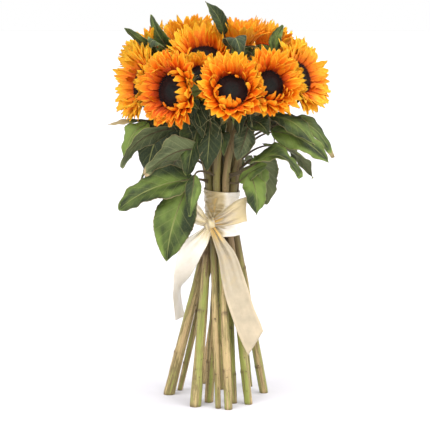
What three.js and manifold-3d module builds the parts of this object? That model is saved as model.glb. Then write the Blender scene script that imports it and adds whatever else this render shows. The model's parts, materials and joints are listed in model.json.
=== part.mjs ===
// A hand-tied bunch of twelve sunflowers that stands on its cut stems, with a satin ribbon.
// Millimetres, +Z up. While it is built, the tie is on the Z axis and the cut ends are at z = 0.
// At the end the whole bunch is moved so that its origin is the middle of its footprint.

import * as THREE from "three";
import { mergeVertices } from "three/addons/utils/BufferGeometryUtils.js";
import Module from "manifold-3d";

const wasm = await Module();
wasm.setup();

const degrees = THREE.MathUtils.degToRad;
const point = (values) => new THREE.Vector3(...values);
const UP = new THREE.Vector3(0, 0, 1);

// Driving dimensions
const WAIST_HEIGHT = 299;
const STEM_SIDES = 6;
const OUTER_RING = 19.6;
const INNER_RING = 7.8;
const WAIST_RADIUS = 6;
const NECK_RADIUS = 4.5;
const NECK_SINK = 4;
const SPIRAL_SLOPE = 0.15;
const BEND_SOFTNESS = 0.08;
const BELOW_HEIGHTS = [0, 155, 244, 277];
const ABOVE_STATIONS = [0, 0.14, 0.3, 0.5, 0.7, 0.86, 1];
const BLADE = 0.8;
const GAP = 0.3;

// Flower heads: the disc's radius, the ray's length, how far the rays lean away from the head's
// axis, the place of the head and the way it faces. A shy head leaves room for leaves beside it
const BLOOMS = [
  { disc: 25, ray: 44, lean: 60, place: [-123, 8, 503], facing: [-0.85, -0.45, 0.2] },
  { disc: 28, ray: 42, lean: 56, place: [-72, -75, 496], facing: [-0.6, -0.78, 0.05] },
  { disc: 25, ray: 40, lean: 48, place: [14, -105, 497], facing: [0.05, -0.9, 0.35] },
  { disc: 23, ray: 40, lean: 52, place: [71, -70, 504], facing: [0.4, -0.85, 0.25] },
  { disc: 25, ray: 44, lean: 60, place: [120, -5, 513], facing: [0.75, -0.55, 0.3] },
  { disc: 17, ray: 30, lean: 50, place: [-35, -38, 516], facing: [-0.25, -0.85, 0.45] },
  { disc: 25, ray: 42, lean: 46, shy: 2, place: [-29, 22, 543], facing: [-0.1, -0.6, 0.8] },
  { disc: 20, ray: 42, lean: 32, shy: 2.8, place: [26, 42, 567], facing: [0.1, -0.1, 0.98] },
  { disc: 22, ray: 40, lean: 52, shy: 7, place: [-107, 60, 543], facing: [-0.6, 0.5, 0.6] },
  { disc: 22, ray: 38, lean: 44, shy: 5, place: [78, 68, 552], facing: [0.4, 0.4, 0.8] },
  { disc: 22, ray: 40, lean: 48, shy: 4, place: [-56, 95, 562], facing: [-0.3, 0.4, 0.85] },
  { disc: 24, ray: 42, lean: 54, place: [5, 112, 543], facing: [0, 0.85, 0.5] },
];
const RAYS_PER_LAYER = 8;
const RAY_WIDTH = 14.5;
const BRACTS = 6;
const DISC_SIDES = 14;
const RECEPTACLE_DEPTH = 17;
const COLLAR_HEIGHT = 3;
const COLLAR_MARGIN = 3;
const NEARLY_UPRIGHT = 0.95;
const REACH_SHARE = 0.6;
const HEAD_MIDDLE = 14;
const CELL_GAP = 4;

// Rays: two layers, each with its root beyond the disc's edge, its height above the head's back
// and how much nearer to the head's axis it leans; then the spreads of the seeded draws
const RAY_LAYERS = [
  { root: 2.2, height: 0.9, closer: 0 },
  { root: 0.3, height: 2.2, closer: 12 },
];
const RAY_STATIONS = [0, 0.5, 1];
const RAY_WIDTHS = [0.6, 1, 0];
const RAY_CURL = 16;
const USUAL_DISC = 25;
const SPREAD = {
  roll: 0.08,
  lean: 3,
  curl: 8,
  length: [0.92, 1.06],
  width: [0.94, 1.04],
  bract: [0.9, 1.1],
};
const BRACT = { inset: 4, height: -1.7, length: 27, width: 15, lean: 88, curl: 20, furthest: 60 };
const BRACT_STATIONS = [0, 0.5, 1];
const BRACT_WIDTHS = [0.8, 1, 0];

// A ray closes by steps until it has room, first at its full length and then at shorter ones
const CLOSING = { step: 6, limit: 150, lean: 0.6, leastLean: 4, curl: 0.7, leastCurl: -75 };
const SHORTENING = [1, 0.9, 0.8, 0.7, 0.6, 0.5];
const CURVE_PARTS = 4;

// Seed discs and the green backs of the heads
const DISC_RINGS = [0, 0.4, 0.76];
const DISC = { inset: 1.5, floor: 3.3, dome: 6, shoulder: 2, edge: 1.5, relief: 0.7 };
const BACK = { rim: 2.5, lip: 3, waist: 10, waistShare: 0.6 };

// Stems, in the order of the heads: the circle and angle at which each passes the tie, the place
// and radius of its cut end, and how far it runs straight above the tie and below its head
const STEMS = [
  { ring: OUTER_RING, angle: 176, foot: [-42, -71], end: 8.8, rise: 110, neck: 55 },
  { ring: OUTER_RING, angle: 216, foot: [-6, -84], end: 4.3, rise: 100, neck: 50 },
  { ring: OUTER_RING, angle: 256, foot: [10, -90], end: 6.3, rise: 100, neck: 50 },
  { ring: OUTER_RING, angle: 296, foot: [42, -58], end: 6.5, rise: 110, neck: 50 },
  { ring: OUTER_RING, angle: 336, foot: [69, 16], end: 7, rise: 110, neck: 55 },
  { ring: INNER_RING, angle: 225, foot: [-21, -45], end: 7, rise: 110, neck: 40 },
  { ring: INNER_RING, angle: 110, foot: [-2, 40], end: 7, rise: 120, neck: 50 },
  { ring: INNER_RING, angle: 350, foot: [18, -51], end: 6, rise: 120, neck: 50 },
  { ring: OUTER_RING, angle: 136, foot: [-86, 6], end: 9.2, rise: 110, neck: 50 },
  { ring: OUTER_RING, angle: 16, foot: [47, 58], end: 4.3, rise: 110, neck: 50 },
  { ring: OUTER_RING, angle: 96, foot: [-69, 32], end: 4.5, rise: 120, neck: 50 },
  { ring: OUTER_RING, angle: 56, foot: [-30, 80], end: 6, rise: 110, neck: 50 },
];

// Leaves: the stem that bears each (counted from 1), the height it leaves the stem at, its width, the
// way its top side faces, and its midrib from the blade's base by the point it bends towards to the tip
const LEAVES = [
  {
    stem: 1, from: 440, width: 24, face: [0, -0.3, 1],
    midrib: [[-104, 32, 440], [-140, 24, 447], [-182, 20, 438]],
  },
  {
    stem: 1, from: 434, width: 42, face: [-0.5, -0.8, 0.3],
    midrib: [[-121, -8, 439], [-146, -14, 433], [-154, -14, 387]],
  },
  {
    stem: 2, from: 409, width: 34, face: [0.1, 0.6, 0.8],
    midrib: [[-74, -42, 437], [-138, -60, 433], [-157, -52, 376]],
  },
  {
    stem: 2, from: 389, width: 52, face: [-0.3, 0.7, 0.6],
    midrib: [[-40, -52, 405], [-78, -72, 411], [-121, -62, 366]],
  },
  {
    stem: 2, from: 351, width: 62, face: [-0.15, -0.7, 0.7],
    midrib: [[-53, -42, 356], [-116, -58, 351], [-163, -36, 308]],
  },
  {
    stem: 2, from: 345, width: 64, face: [-0.15, -0.96, 0.2],
    midrib: [[-54, -50, 347], [-86, -64, 277], [-86, -56, 230]],
  },
  {
    stem: 3, from: 359, width: 25, face: [-0.3, -0.95, 0.1],
    midrib: [[-43, -62, 363], [-46, -82, 339], [-50, -78, 303]],
  },
  {
    stem: 3, from: 424, width: 42, face: [-0.4, -0.9, 0.1],
    midrib: [[-18, -62, 447], [-20, -80, 419], [-24, -66, 373]],
  },
  {
    stem: 4, from: 409, width: 34, face: [0.3, 0.9, 0.2],
    midrib: [[39, -52, 436], [34, -64, 414], [23, -54, 388]],
  },
  {
    stem: 4, from: 424, width: 34, face: [0.1, -0.9, 0.4],
    midrib: [[46, -56, 449], [60, -70, 451], [72, -76, 429]],
  },
  {
    stem: 5, from: 429, width: 40, face: [0.1, -0.6, 0.8],
    midrib: [[80, -24, 455], [116, -44, 455], [143, -46, 411]],
  },
  {
    stem: 5, from: 409, width: 38, face: [0.6, -0.6, 0.6],
    midrib: [[98, 4, 443], [150, 2, 455], [177, -2, 387]],
  },
  {
    stem: 5, from: 389, width: 46, face: [0.1, -0.9, 0.45],
    midrib: [[84, -26, 430], [128, -42, 429], [168, -28, 382]],
  },
  {
    stem: 4, from: 361, width: 44, face: [0.1, -0.5, 0.9],
    midrib: [[50, -44, 381], [92, -66, 419], [122, -62, 361]],
  },
  {
    stem: 4, from: 347, width: 28, face: [-0.3, -0.8, 0.5],
    midrib: [[30, -34, 354], [48, -50, 377], [70, -50, 381]],
  },
  {
    stem: 4, from: 354, width: 38, face: [0.25, -0.95, 0.2],
    midrib: [[46, -44, 361], [57, -60, 334], [54, -56, 302]],
  },
  {
    stem: 5, from: 359, width: 28, face: [0.6, -0.7, 0.2],
    midrib: [[58, -16, 381], [66, -26, 359], [60, -26, 331]],
  },
  {
    stem: 1, from: 491, width: 22, face: [-0.3, -0.8, -0.4],
    midrib: [[-107, 19, 551], [-121, 10, 569], [-154, 6, 592]],
  },
  {
    stem: 9, from: 489, width: 24, face: [-0.5, -0.85, 0.3],
    midrib: [[-78, 40, 554], [-104, 20, 575], [-113, 32, 613]],
  },
  {
    stem: 9, from: 509, width: 26, face: [-0.1, -0.6, 0.8],
    midrib: [[-88, 2, 557], [-116, -12, 586], [-111, -22, 560]],
  },
  {
    stem: 8, from: 530, width: 24, face: [0.3, -0.95, 0.1],
    midrib: [[3, 8, 585], [-2, -12, 610], [-26, -6, 633]],
  },
  {
    stem: 3, from: 449, width: 32, face: [0.1, 0.5, 0.9],
    midrib: [[8, -38, 539], [20, -44, 597], [42, -48, 543]],
  },
  {
    stem: 10, from: 489, width: 22, face: [-0.3, -0.95, 0.2],
    midrib: [[83, -4, 557], [82, -8, 581], [96, -6, 596]],
  },
  {
    stem: 9, from: 409, width: 48, face: [-0.5, 0.4, 0.75],
    midrib: [[-84, 58, 439], [-130, 86, 433], [-150, 96, 377]],
  },
  {
    stem: 9, from: 359, width: 54, face: [-0.4, 0.8, 0.4],
    midrib: [[-56, 62, 389], [-88, 104, 379], [-96, 112, 309]],
  },
  {
    stem: 12, from: 399, width: 48, face: [-0.1, 0.8, 0.6],
    midrib: [[-16, 74, 429], [-24, 120, 429], [-28, 134, 359]],
  },
  {
    stem: 12, from: 354, width: 56, face: [0.2, 0.9, 0.3],
    midrib: [[4, 60, 381], [12, 108, 375], [12, 114, 299]],
  },
  {
    stem: 10, from: 409, width: 48, face: [0.4, 0.6, 0.7],
    midrib: [[58, 64, 434], [108, 100, 433], [124, 112, 369]],
  },
  {
    stem: 10, from: 354, width: 58, face: [0.5, 0.8, 0.3],
    midrib: [[52, 48, 379], [76, 88, 366], [74, 96, 300]],
  },
  {
    stem: 5, from: 374, width: 46, face: [0.6, 0.3, 0.7],
    midrib: [[70, 22, 404], [122, 42, 409], [148, 48, 349]],
  },
  {
    stem: 1, from: 369, width: 52, face: [-0.6, 0.4, 0.7],
    midrib: [[-66, 20, 391], [-116, 36, 395], [-138, 42, 327]],
  },
];
const LEAF_ROWS = [0.12, 0.3, 0.52, 0.76, 1];
const STALK_ROWS = [0, 0.6, 1];
const STALK_WIDTH = 2.6;
const NOTCH = 0.05;
const LEAF_FRONT = 0.66;
const LEAF_FULLNESS = 0.85;
const LEAF_FOLD = 0.28;
const LEAF_WAVE = 0.09;
const LEAF_WAVE_STEP = 2.1;
const STALK_EASE = 0.4;

// Ribbon
const RIBBON_WIDTH = 38;
const BAND_BOTTOM = 264;
const BAND_TOP = 338;
const BAND_SLANT = 3;
const BAND_SLANT_TURN = 0.6;
const BAND_CLEARANCE = 0.5;
const BAND_THICKNESS = 2.2;
const BAND_SIDES = 20;
const BAND_LEVELS = [0, 0.36, 0.52, 1];
const BAND_SWELL = [0.2, 0.6, 0, 0.2];
const KNOT = [-19, -33.3, 286];
const KNOT_SIZE = [9, 9, 9];
const KNOT_MERIDIANS = 8;
const KNOT_PARALLELS = 6;

// Strips of the bow: the middle of the ribbon, the way it is spread, and its width there
const RIGHT_LOOP = [
  { at: [-17, -35, 286], spread: [0, 0, 1], width: 10 },
  { at: [4, -33, 295], spread: [-0.2, 0, 1], width: 22 },
  { at: [24, -34, 305], spread: [-0.15, 0, 1], width: 34 },
  { at: [36, -36, 309], spread: [0, 0, 1], width: RIBBON_WIDTH },
  { at: [39, -40, 309], spread: [0, 0, 1], width: RIBBON_WIDTH },
  { at: [35, -44, 309], spread: [0, 0, 1], width: RIBBON_WIDTH },
  { at: [22, -46, 303], spread: [-0.15, 0, 1], width: 32 },
  { at: [2, -44, 293], spread: [-0.2, 0, 1], width: 20 },
  { at: [-17, -38, 287], spread: [0, 0, 1], width: 10 },
];
const LEFT_LOOP = [
  { at: [-21, -35, 286], spread: [0, 0, 1], width: 10 },
  { at: [-34, -34, 296], spread: [0.3, 0, 1], width: 24 },
  { at: [-48, -36, 308], spread: [0.1, 0, 1], width: 34 },
  { at: [-52, -39, 310], spread: [0, 0, 1], width: 36 },
  { at: [-48, -43, 308], spread: [0.1, 0, 1], width: 34 },
  { at: [-34, -43, 296], spread: [0.3, 0, 1], width: 24 },
  { at: [-21, -38, 287], spread: [0, 0, 1], width: 10 },
];
const RIGHT_TAIL = [
  { at: [-16, -37, 281], spread: [1, 0, 0.3], width: 9 },
  { at: [-4, -43, 259], spread: [1, 0, 0.4], width: 18 },
  { at: [8, -47, 235], spread: [1, 0.05, 0.4], width: 28 },
  { at: [16, -51, 205], spread: [1, 0.1, 0.3], width: 35 },
  { at: [24, -57, 176], spread: [1, 0.1, 0.38], width: RIBBON_WIDTH },
  { at: [35, -62, 143], spread: [1, 0.1, 0.45], width: RIBBON_WIDTH },
  { at: [53, -67, 104], spread: [0.62, 0.1, 1], width: RIBBON_WIDTH },
];
const LEFT_TAIL = [
  { at: [-21, -37, 281], spread: [1, 0, -0.3], width: 9 },
  { at: [-33, -37, 263], spread: [1, 0, -0.6], width: 26 },
  { at: [-48, -33, 243], spread: [1, 0.1, -0.7], width: 36 },
  { at: [-63, -13, 205], spread: [0.75, 0.7, -0.3], width: RIBBON_WIDTH },
  { at: [-71, 13, 174], spread: [0.3, 0.95, 0], width: RIBBON_WIDTH },
  { at: [-71, 35, 149], spread: [0.35, 0.93, 0], width: RIBBON_WIDTH },
  { at: [-68, 47, 117], spread: [0.4, 0.9, 0], width: RIBBON_WIDTH },
];

// Materials
const finish = (color, roughness) => new THREE.MeshStandardMaterial({ color, roughness, metalness: 0 });
const GREEN = finish("#5d7a3a", 0.75);
const GOLD = finish("#f49a18", 0.6);
const SEED_BROWN = finish("#2a1a16", 0.9);
const CREAM_SATIN = finish("#eedfb8", 0.35);

// Seeded draws, so that every build is the same
const DRAW_FACTOR = 1664525;
const DRAW_STEP = 1013904223;
const DRAW_RANGE = 2 ** 32;
const STEM_SEED = 100;
const BLOOM_SEED = 200;
function seededDraws(seed) {
  let state = seed;
  return (low, high) => {
    state = (Math.imul(state, DRAW_FACTOR) + DRAW_STEP) >>> 0;
    return low + (high - low) * (state / DRAW_RANGE);
  };
}

// Solids
function solidOf(geometry) {
  const bare = geometry.clone();
  bare.deleteAttribute("normal");
  bare.deleteAttribute("uv");
  const merged = mergeVertices(bare);
  const places = merged.attributes.position.array;
  const faces = [];
  let sixVolumes = 0;
  for (let k = 0; k < merged.index.count; k += 3) {
    const [a, b, c] = [merged.index.getX(k), merged.index.getX(k + 1), merged.index.getX(k + 2)];
    if (a === b || b === c || a === c) {
      continue;
    }
    faces.push(a, b, c);
    const [first, second, third] = [a, b, c].map((i) => new THREE.Vector3().fromArray(places, 3 * i));
    sixVolumes += first.dot(second.cross(third));
  }
  if (sixVolumes < 0) {
    faces.reverse();
  }
  return new wasm.Manifold(
    new wasm.Mesh({
      numProp: 3,
      vertProperties: Float32Array.from(places),
      triVerts: Uint32Array.from(faces),
    }),
  );
}

// One body of all the pieces, without any loose scrap
function fused(pieces) {
  const whole = pieces.reduce((sum, piece) => sum.add(piece));
  const bodies = whole.decompose();
  return bodies.reduce((largest, body) => (body.volume() > largest.volume() ? body : largest));
}

function meshOf(name, solid, material) {
  const { vertProperties, triVerts } = solid.getMesh();
  const geometry = new THREE.BufferGeometry();
  geometry.setAttribute("position", new THREE.BufferAttribute(vertProperties, 3));
  geometry.setIndex(new THREE.BufferAttribute(triVerts, 1));
  geometry.computeVertexNormals();
  const mesh = new THREE.Mesh(geometry, material);
  mesh.name = name;
  return mesh;
}

function indexedGeometry(places, faces) {
  const numbers = places.flatMap((place) => place.toArray());
  const geometry = new THREE.BufferGeometry();
  geometry.setAttribute("position", new THREE.Float32BufferAttribute(numbers, 3));
  geometry.setIndex(faces);
  return geometry;
}

// A thin blade round rows of middle points; a last row of one point is a sharp tip.
// Both faces are split along the same diagonals, so a waved blade never crosses itself.
function blade(rows, thicknesses) {
  const columns = rows[0].length;
  const spot = (r, c) => rows[r][Math.min(c, rows[r].length - 1)];
  const places = [];
  const index = rows.map((row, r) =>
    row.map((middle, c) => {
      const [below, above] = [Math.max(r - 1, 0), Math.min(r + 1, rows.length - 1)];
      const along = spot(above, c).clone().sub(spot(below, c));
      const acrossRow = row.length > 1 ? r : r - 1;
      const left = row.length > 1 ? Math.max(c - 1, 0) : 0;
      const right = row.length > 1 ? Math.min(c + 1, columns - 1) : columns - 1;
      const across = spot(acrossRow, right).clone().sub(spot(acrossRow, left));
      const normal = along.cross(across).normalize().multiplyScalar(thicknesses[r] / 2);
      places.push(middle.clone().add(normal), middle.clone().sub(normal));
      return places.length - 2;
    }),
  );
  const at = (r, c) => index[r][Math.min(c, rows[r].length - 1)];
  const faces = [];
  const rim = (p, q) => {
    faces.push(q, p, p + 1, q, p + 1, q + 1);
  };
  const last = rows.length - 1;
  for (let r = 0; r < last; r += 1) {
    for (let c = 0; c < columns - 1; c += 1) {
      const [a, b, d, e] = [at(r, c), at(r + 1, c), at(r + 1, c + 1), at(r, c + 1)];
      faces.push(a, b, d, a, d, e);
      faces.push(a + 1, d + 1, b + 1, a + 1, e + 1, d + 1);
    }
    rim(at(r, 0), at(r + 1, 0));
    rim(at(r + 1, columns - 1), at(r, columns - 1));
  }
  for (let c = 0; c < columns - 1; c += 1) {
    rim(at(0, c + 1), at(0, c));
    if (rows[last].length > 1) {
      rim(at(last, c), at(last, c + 1));
    }
  }
  return solidOf(indexedGeometry(places, faces));
}

const evenBlade = (rows) => blade(rows, rows.map(() => BLADE));

// A tube with flat ends round the given places; the first ring lies level where level is true
function tube(middles, radii, sides, level) {
  const places = [];
  let side = new THREE.Vector3(1, 0, 0);
  middles.forEach((middle, k) => {
    const before = middles[Math.max(k - 1, 0)];
    const after = middles[Math.min(k + 1, middles.length - 1)];
    const heading = k === 0 && level ? UP.clone() : after.clone().sub(before).normalize();
    side = side.clone().addScaledVector(heading, -side.dot(heading)).normalize();
    const other = heading.clone().cross(side);
    for (let n = 0; n < sides; n += 1) {
      const turn = (2 * Math.PI * n) / sides;
      places.push(
        middle
          .clone()
          .addScaledVector(side, radii[k] * Math.cos(turn))
          .addScaledVector(other, radii[k] * Math.sin(turn)),
      );
    }
  });
  const faces = [];
  for (let k = 0; k < middles.length - 1; k += 1) {
    for (let n = 0; n < sides; n += 1) {
      const next = (n + 1) % sides;
      const [a, b] = [k * sides + n, k * sides + next];
      faces.push(a, b, b + sides, a, b + sides, a + sides);
    }
  }
  const end = (middles.length - 1) * sides;
  for (let n = 1; n < sides - 1; n += 1) {
    faces.push(0, n + 1, n, end, end + n, end + n + 1);
  }
  return solidOf(indexedGeometry(places, faces));
}

// Heads
const heads = BLOOMS.map((bloom) => {
  const axis = point(bloom.facing).normalize();
  const east = Math.abs(axis.z) > NEARLY_UPRIGHT ? new THREE.Vector3(1, 0, 0) : UP.clone().cross(axis);
  east.addScaledVector(axis, -east.dot(axis)).normalize();
  const north = axis.clone().cross(east);
  const place = point(bloom.place);
  const reach = bloom.disc + REACH_SHARE * bloom.ray;
  const middle = place.clone().addScaledVector(axis, HEAD_MIDDLE);
  return { ...bloom, place, axis, east, north, reach, middle };
});

const outward = (head, roll) =>
  head.east.clone().multiplyScalar(Math.cos(roll)).addScaledVector(head.north, Math.sin(roll));

// Each head has the room up to the planes between it and its neighbours
function insideCell(head, spot) {
  return heads.every((other) => {
    if (other === head) {
      return true;
    }
    const away = other.middle.clone().sub(head.middle);
    const apart = away.length();
    const share = (apart * head.reach) / (head.reach + other.reach);
    const room = share - CELL_GAP / 2 - (head.shy ?? 0);
    return spot.clone().sub(head.middle).dot(away.normalize()) < room;
  });
}

// The rows of a ray or bract: it leaves the head at an angle from the head's axis and curls on
function rayRows(head, shape) {
  const out = outward(head, shape.roll);
  const across = head.axis.clone().cross(out);
  const middle = head.place.clone().addScaledVector(out, shape.root);
  middle.addScaledVector(head.axis, shape.height);
  const rows = [];
  let travelled = 0;
  shape.stations.forEach((station, k) => {
    const step = (station - travelled) / CURVE_PARTS;
    for (let n = 0; n < CURVE_PARTS && step > 0; n += 1) {
      const angle = degrees(shape.lean + shape.curl * (travelled + (n + 0.5) * step));
      middle.addScaledVector(out, shape.length * step * Math.sin(angle));
      middle.addScaledVector(head.axis, shape.length * step * Math.cos(angle));
    }
    travelled = station;
    const half = (shape.width / 2) * shape.widths[k];
    if (half === 0) {
      rows.push([middle.clone()]);
      return;
    }
    const left = middle.clone().addScaledVector(across, -half);
    const right = middle.clone().addScaledVector(across, half);
    rows.push([left, right]);
  });
  return rows;
}

// A ray or bract turns away, and is shorter if need be, until it is inside its head's own room
function rowsInRoom(head, shape, turned) {
  let rows = [];
  for (const share of SHORTENING) {
    for (let closing = 0; closing <= CLOSING.limit; closing += CLOSING.step) {
      rows = rayRows(head, { ...shape, length: share * shape.length, ...turned(closing) });
      if (rows.flat().every((spot) => insideCell(head, spot))) {
        return rows;
      }
    }
  }
  return rows;
}

function raysOf(head, draw) {
  const corner = (head.disc + COLLAR_MARGIN) / Math.cos(Math.PI / RAYS_PER_LAYER);
  const collar = new THREE.CylinderGeometry(corner, corner, COLLAR_HEIGHT, RAYS_PER_LAYER);
  collar.translate(0, COLLAR_HEIGHT / 2, 0);
  collar.applyMatrix4(headMatrix(head));
  const pieces = [solidOf(collar)];
  const usualWidth = RAY_WIDTH * Math.sqrt(head.disc / USUAL_DISC);
  for (const [number, layer] of RAY_LAYERS.entries()) {
    for (let k = 0; k < RAYS_PER_LAYER; k += 1) {
      const place = k + (1 - number) / 2 + draw(-SPREAD.roll, SPREAD.roll);
      const shape = {
        roll: (2 * Math.PI * place) / RAYS_PER_LAYER,
        root: head.disc + layer.root,
        height: layer.height,
        length: head.ray * draw(...SPREAD.length),
        width: usualWidth * draw(...SPREAD.width),
        lean: head.lean - layer.closer + draw(-SPREAD.lean, SPREAD.lean),
        curl: RAY_CURL + draw(-SPREAD.curl, SPREAD.curl),
        stations: RAY_STATIONS,
        widths: RAY_WIDTHS,
      };
      const closed = (closing) => ({
        lean: Math.max(shape.lean - CLOSING.lean * closing, CLOSING.leastLean),
        curl: Math.max(shape.curl - CLOSING.curl * closing, CLOSING.leastCurl),
      });
      pieces.push(evenBlade(rowsInRoom(head, shape, closed)));
    }
  }
  return fused(pieces);
}

// Turned shapes stand on the Y axis until this matrix sets them on their head
function headMatrix(head) {
  const turn = new THREE.Matrix4().makeBasis(head.north, head.axis, head.east);
  return turn.setPosition(head.place);
}

// A low dome whose florets are a relief of raised and sunk places
function discOf(head) {
  const radius = head.disc - DISC.inset;
  const domed = DISC_RINGS.map((share) => [
    radius * share,
    DISC.floor + DISC.shoulder + DISC.dome * (1 - share ** 2),
  ]);
  const under = [
    [radius, DISC.floor + DISC.edge],
    [radius - 1, DISC.floor],
    [0, DISC.floor],
  ];
  const profile = domed.concat(under).map(([r, y]) => new THREE.Vector2(r, y));
  const disc = new THREE.LatheGeometry(profile, DISC_SIDES);
  const spots = disc.attributes.position;
  for (let k = 0; k < spots.count; k += 1) {
    const ring = k % profile.length;
    const spoke = Math.floor(k / profile.length);
    if (ring > 0 && ring < DISC_RINGS.length) {
      const raised = (ring + spoke) % 2 ? DISC.relief : -DISC.relief;
      spots.setY(k, spots.getY(k) + raised);
    }
  }
  disc.applyMatrix4(headMatrix(head));
  return solidOf(disc);
}

// The green bowl under a head and the bracts round it
function greenBackOf(head, draw) {
  const rim = head.disc + BACK.rim;
  const profile = [
    [0, -GAP],
    [rim, -GAP],
    [rim, -BACK.lip],
    [BACK.waistShare * rim, -BACK.waist],
    [NECK_RADIUS + 1, -RECEPTACLE_DEPTH],
    [0, -RECEPTACLE_DEPTH],
  ].map(([r, y]) => new THREE.Vector2(r, y));
  const bowl = new THREE.LatheGeometry(profile, BRACTS);
  bowl.applyMatrix4(headMatrix(head));
  const pieces = [solidOf(bowl)];
  for (let k = 0; k < BRACTS; k += 1) {
    const shape = {
      roll: (2 * Math.PI * (k + 0.5)) / BRACTS,
      root: rim - BRACT.inset,
      height: BRACT.height,
      length: BRACT.length,
      width: BRACT.width * draw(...SPREAD.bract),
      curl: BRACT.curl,
      stations: BRACT_STATIONS,
      widths: BRACT_WIDTHS,
    };
    const foldedBack = (closing) => ({ lean: BRACT.lean + Math.min(closing, BRACT.furthest) });
    const rows = rowsInRoom(head, shape, foldedBack);
    pieces.push(evenBlade(rows));
  }
  return pieces;
}

// Stems
const softBend = (u) =>
  (Math.hypot(BEND_SOFTNESS, u) - BEND_SOFTNESS) / (Math.hypot(BEND_SOFTNESS, 1) - BEND_SOFTNESS);

const stemPaths = STEMS.map((stem, k) => {
  const head = heads[k];
  const turn = degrees(stem.angle);
  const waist = new THREE.Vector3(stem.ring * Math.cos(turn), stem.ring * Math.sin(turn), WAIST_HEIGHT);
  const slope = new THREE.Vector3(Math.sin(turn), -Math.cos(turn), 0).multiplyScalar(
    (SPIRAL_SLOPE * stem.ring) / OUTER_RING,
  );
  const foot = new THREE.Vector3(...stem.foot, 0);
  const spare = foot.clone().sub(waist).addScaledVector(slope, WAIST_HEIGHT).setZ(0);
  const below = (height) =>
    waist
      .clone()
      .addScaledVector(slope, height - WAIST_HEIGHT)
      .addScaledVector(spare, softBend((WAIST_HEIGHT - height) / WAIST_HEIGHT))
      .setZ(height);
  const neck = head.place.clone().addScaledVector(head.axis, -RECEPTACLE_DEPTH);
  const above = new THREE.CubicBezierCurve3(
    waist,
    waist.clone().addScaledVector(slope, stem.rise).addScaledVector(UP, stem.rise),
    neck.clone().addScaledVector(head.axis, -stem.neck),
    neck.clone().addScaledVector(head.axis, NECK_SINK),
  );
  return { ...stem, below, above };
});

// The rings of a stem from its cut end to its head
function ringsOf(stem) {
  const below = BELOW_HEIGHTS.map((height) => ({
    middle: stem.below(height),
    radius: THREE.MathUtils.lerp(stem.end, WAIST_RADIUS, height / WAIST_HEIGHT),
  }));
  const above = ABOVE_STATIONS.map((share) => ({
    middle: stem.above.getPoint(share),
    radius: THREE.MathUtils.lerp(WAIST_RADIUS, NECK_RADIUS, share),
  }));
  return below.concat(above);
}

const stemRings = stemPaths.map(ringsOf);

function stemOf(rings) {
  return tube(
    rings.map((ring) => ring.middle),
    rings.map((ring) => ring.radius),
    STEM_SIDES,
    true,
  );
}

// The stem's middle and radius where it first comes to a height
function stemAt(rings, height) {
  const next = Math.max(1, rings.findIndex((ring) => ring.middle.z >= height));
  const [low, high] = [rings[next - 1], rings[next]];
  const share = (height - low.middle.z) / (high.middle.z - low.middle.z);
  return {
    middle: low.middle.clone().lerp(high.middle, share),
    radius: THREE.MathUtils.lerp(low.radius, high.radius, share),
  };
}

// Leaves, each a thin blade that runs on into its stalk, a narrow thick bar sunk in the stem
const leafWidth = (share) => Math.sin(Math.PI * share ** LEAF_FRONT) ** LEAF_FULLNESS;

function leafOf(leaf, rings, draw) {
  const [base, bend, tip] = leaf.midrib.map(point);
  const midrib = new THREE.QuadraticBezierCurve3(base, bend, tip);
  const chord = tip.clone().sub(base).normalize();
  const across = point(leaf.face).cross(chord).normalize();
  const phase = draw(0, 2 * Math.PI);
  const start = stemAt(rings, leaf.from).middle;
  const stalk = new THREE.QuadraticBezierCurve3(
    start,
    base.clone().addScaledVector(midrib.getTangent(0), -STALK_EASE * start.distanceTo(base)),
    base,
  );
  const rows = STALK_ROWS.map((share) => {
    const middle = stalk.getPoint(share);
    const half = across.clone().multiplyScalar(STALK_WIDTH / 2);
    return [middle.clone().sub(half), middle, middle.clone().add(half)];
  });
  LEAF_ROWS.forEach((share, k) => {
    const middle = midrib.getPoint(share);
    if (share === 1) {
      rows.push([middle]);
      return;
    }
    const lift = midrib.getTangent(share).cross(across).normalize();
    lift.multiplyScalar(Math.sign(lift.dot(point(leaf.face))) || 1);
    const half = (leaf.width / 2) * leafWidth(share) * (1 + NOTCH * Math.cos(Math.PI * k));
    const edge = (side) => {
      const wave = LEAF_WAVE * leaf.width * Math.sin(phase + LEAF_WAVE_STEP * k + side);
      return middle
        .clone()
        .addScaledVector(across, side * half)
        .addScaledVector(lift, LEAF_FOLD * half + wave);
    };
    rows.push([edge(-1), middle, edge(1)]);
  });
  const thicknesses = rows.map((row, k) => (k < STALK_ROWS.length ? STALK_WIDTH : BLADE));
  return blade(rows, thicknesses);
}

function leafyStemOf(rings, number) {
  const draw = seededDraws(STEM_SEED + number);
  const pieces = [stemOf(rings), ...greenBackOf(heads[number - 1], draw)];
  for (const leaf of LEAVES.filter((entry) => entry.stem === number)) {
    pieces.push(leafOf(leaf, rings, draw));
  }
  return fused(pieces);
}

// Ribbon wraps: an inner wall that clears every stem, and an outer wall round it
function clearance(direction, height) {
  return Math.max(
    ...stemRings.map((rings) => {
      const { middle, radius } = stemAt(rings, height);
      return middle.x * Math.cos(direction) + middle.y * Math.sin(direction) + radius;
    }),
  );
}

function bandCorner(k, height, spare) {
  const turn = (2 * Math.PI) / BAND_SIDES;
  const [first, second] = [k * turn, (k + 1) * turn];
  const [near, far] = [clearance(first, height) + spare, clearance(second, height) + spare];
  return new THREE.Vector3(
    (near * Math.sin(second) - far * Math.sin(first)) / Math.sin(turn),
    (far * Math.cos(first) - near * Math.cos(second)) / Math.sin(turn),
    height,
  );
}

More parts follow.
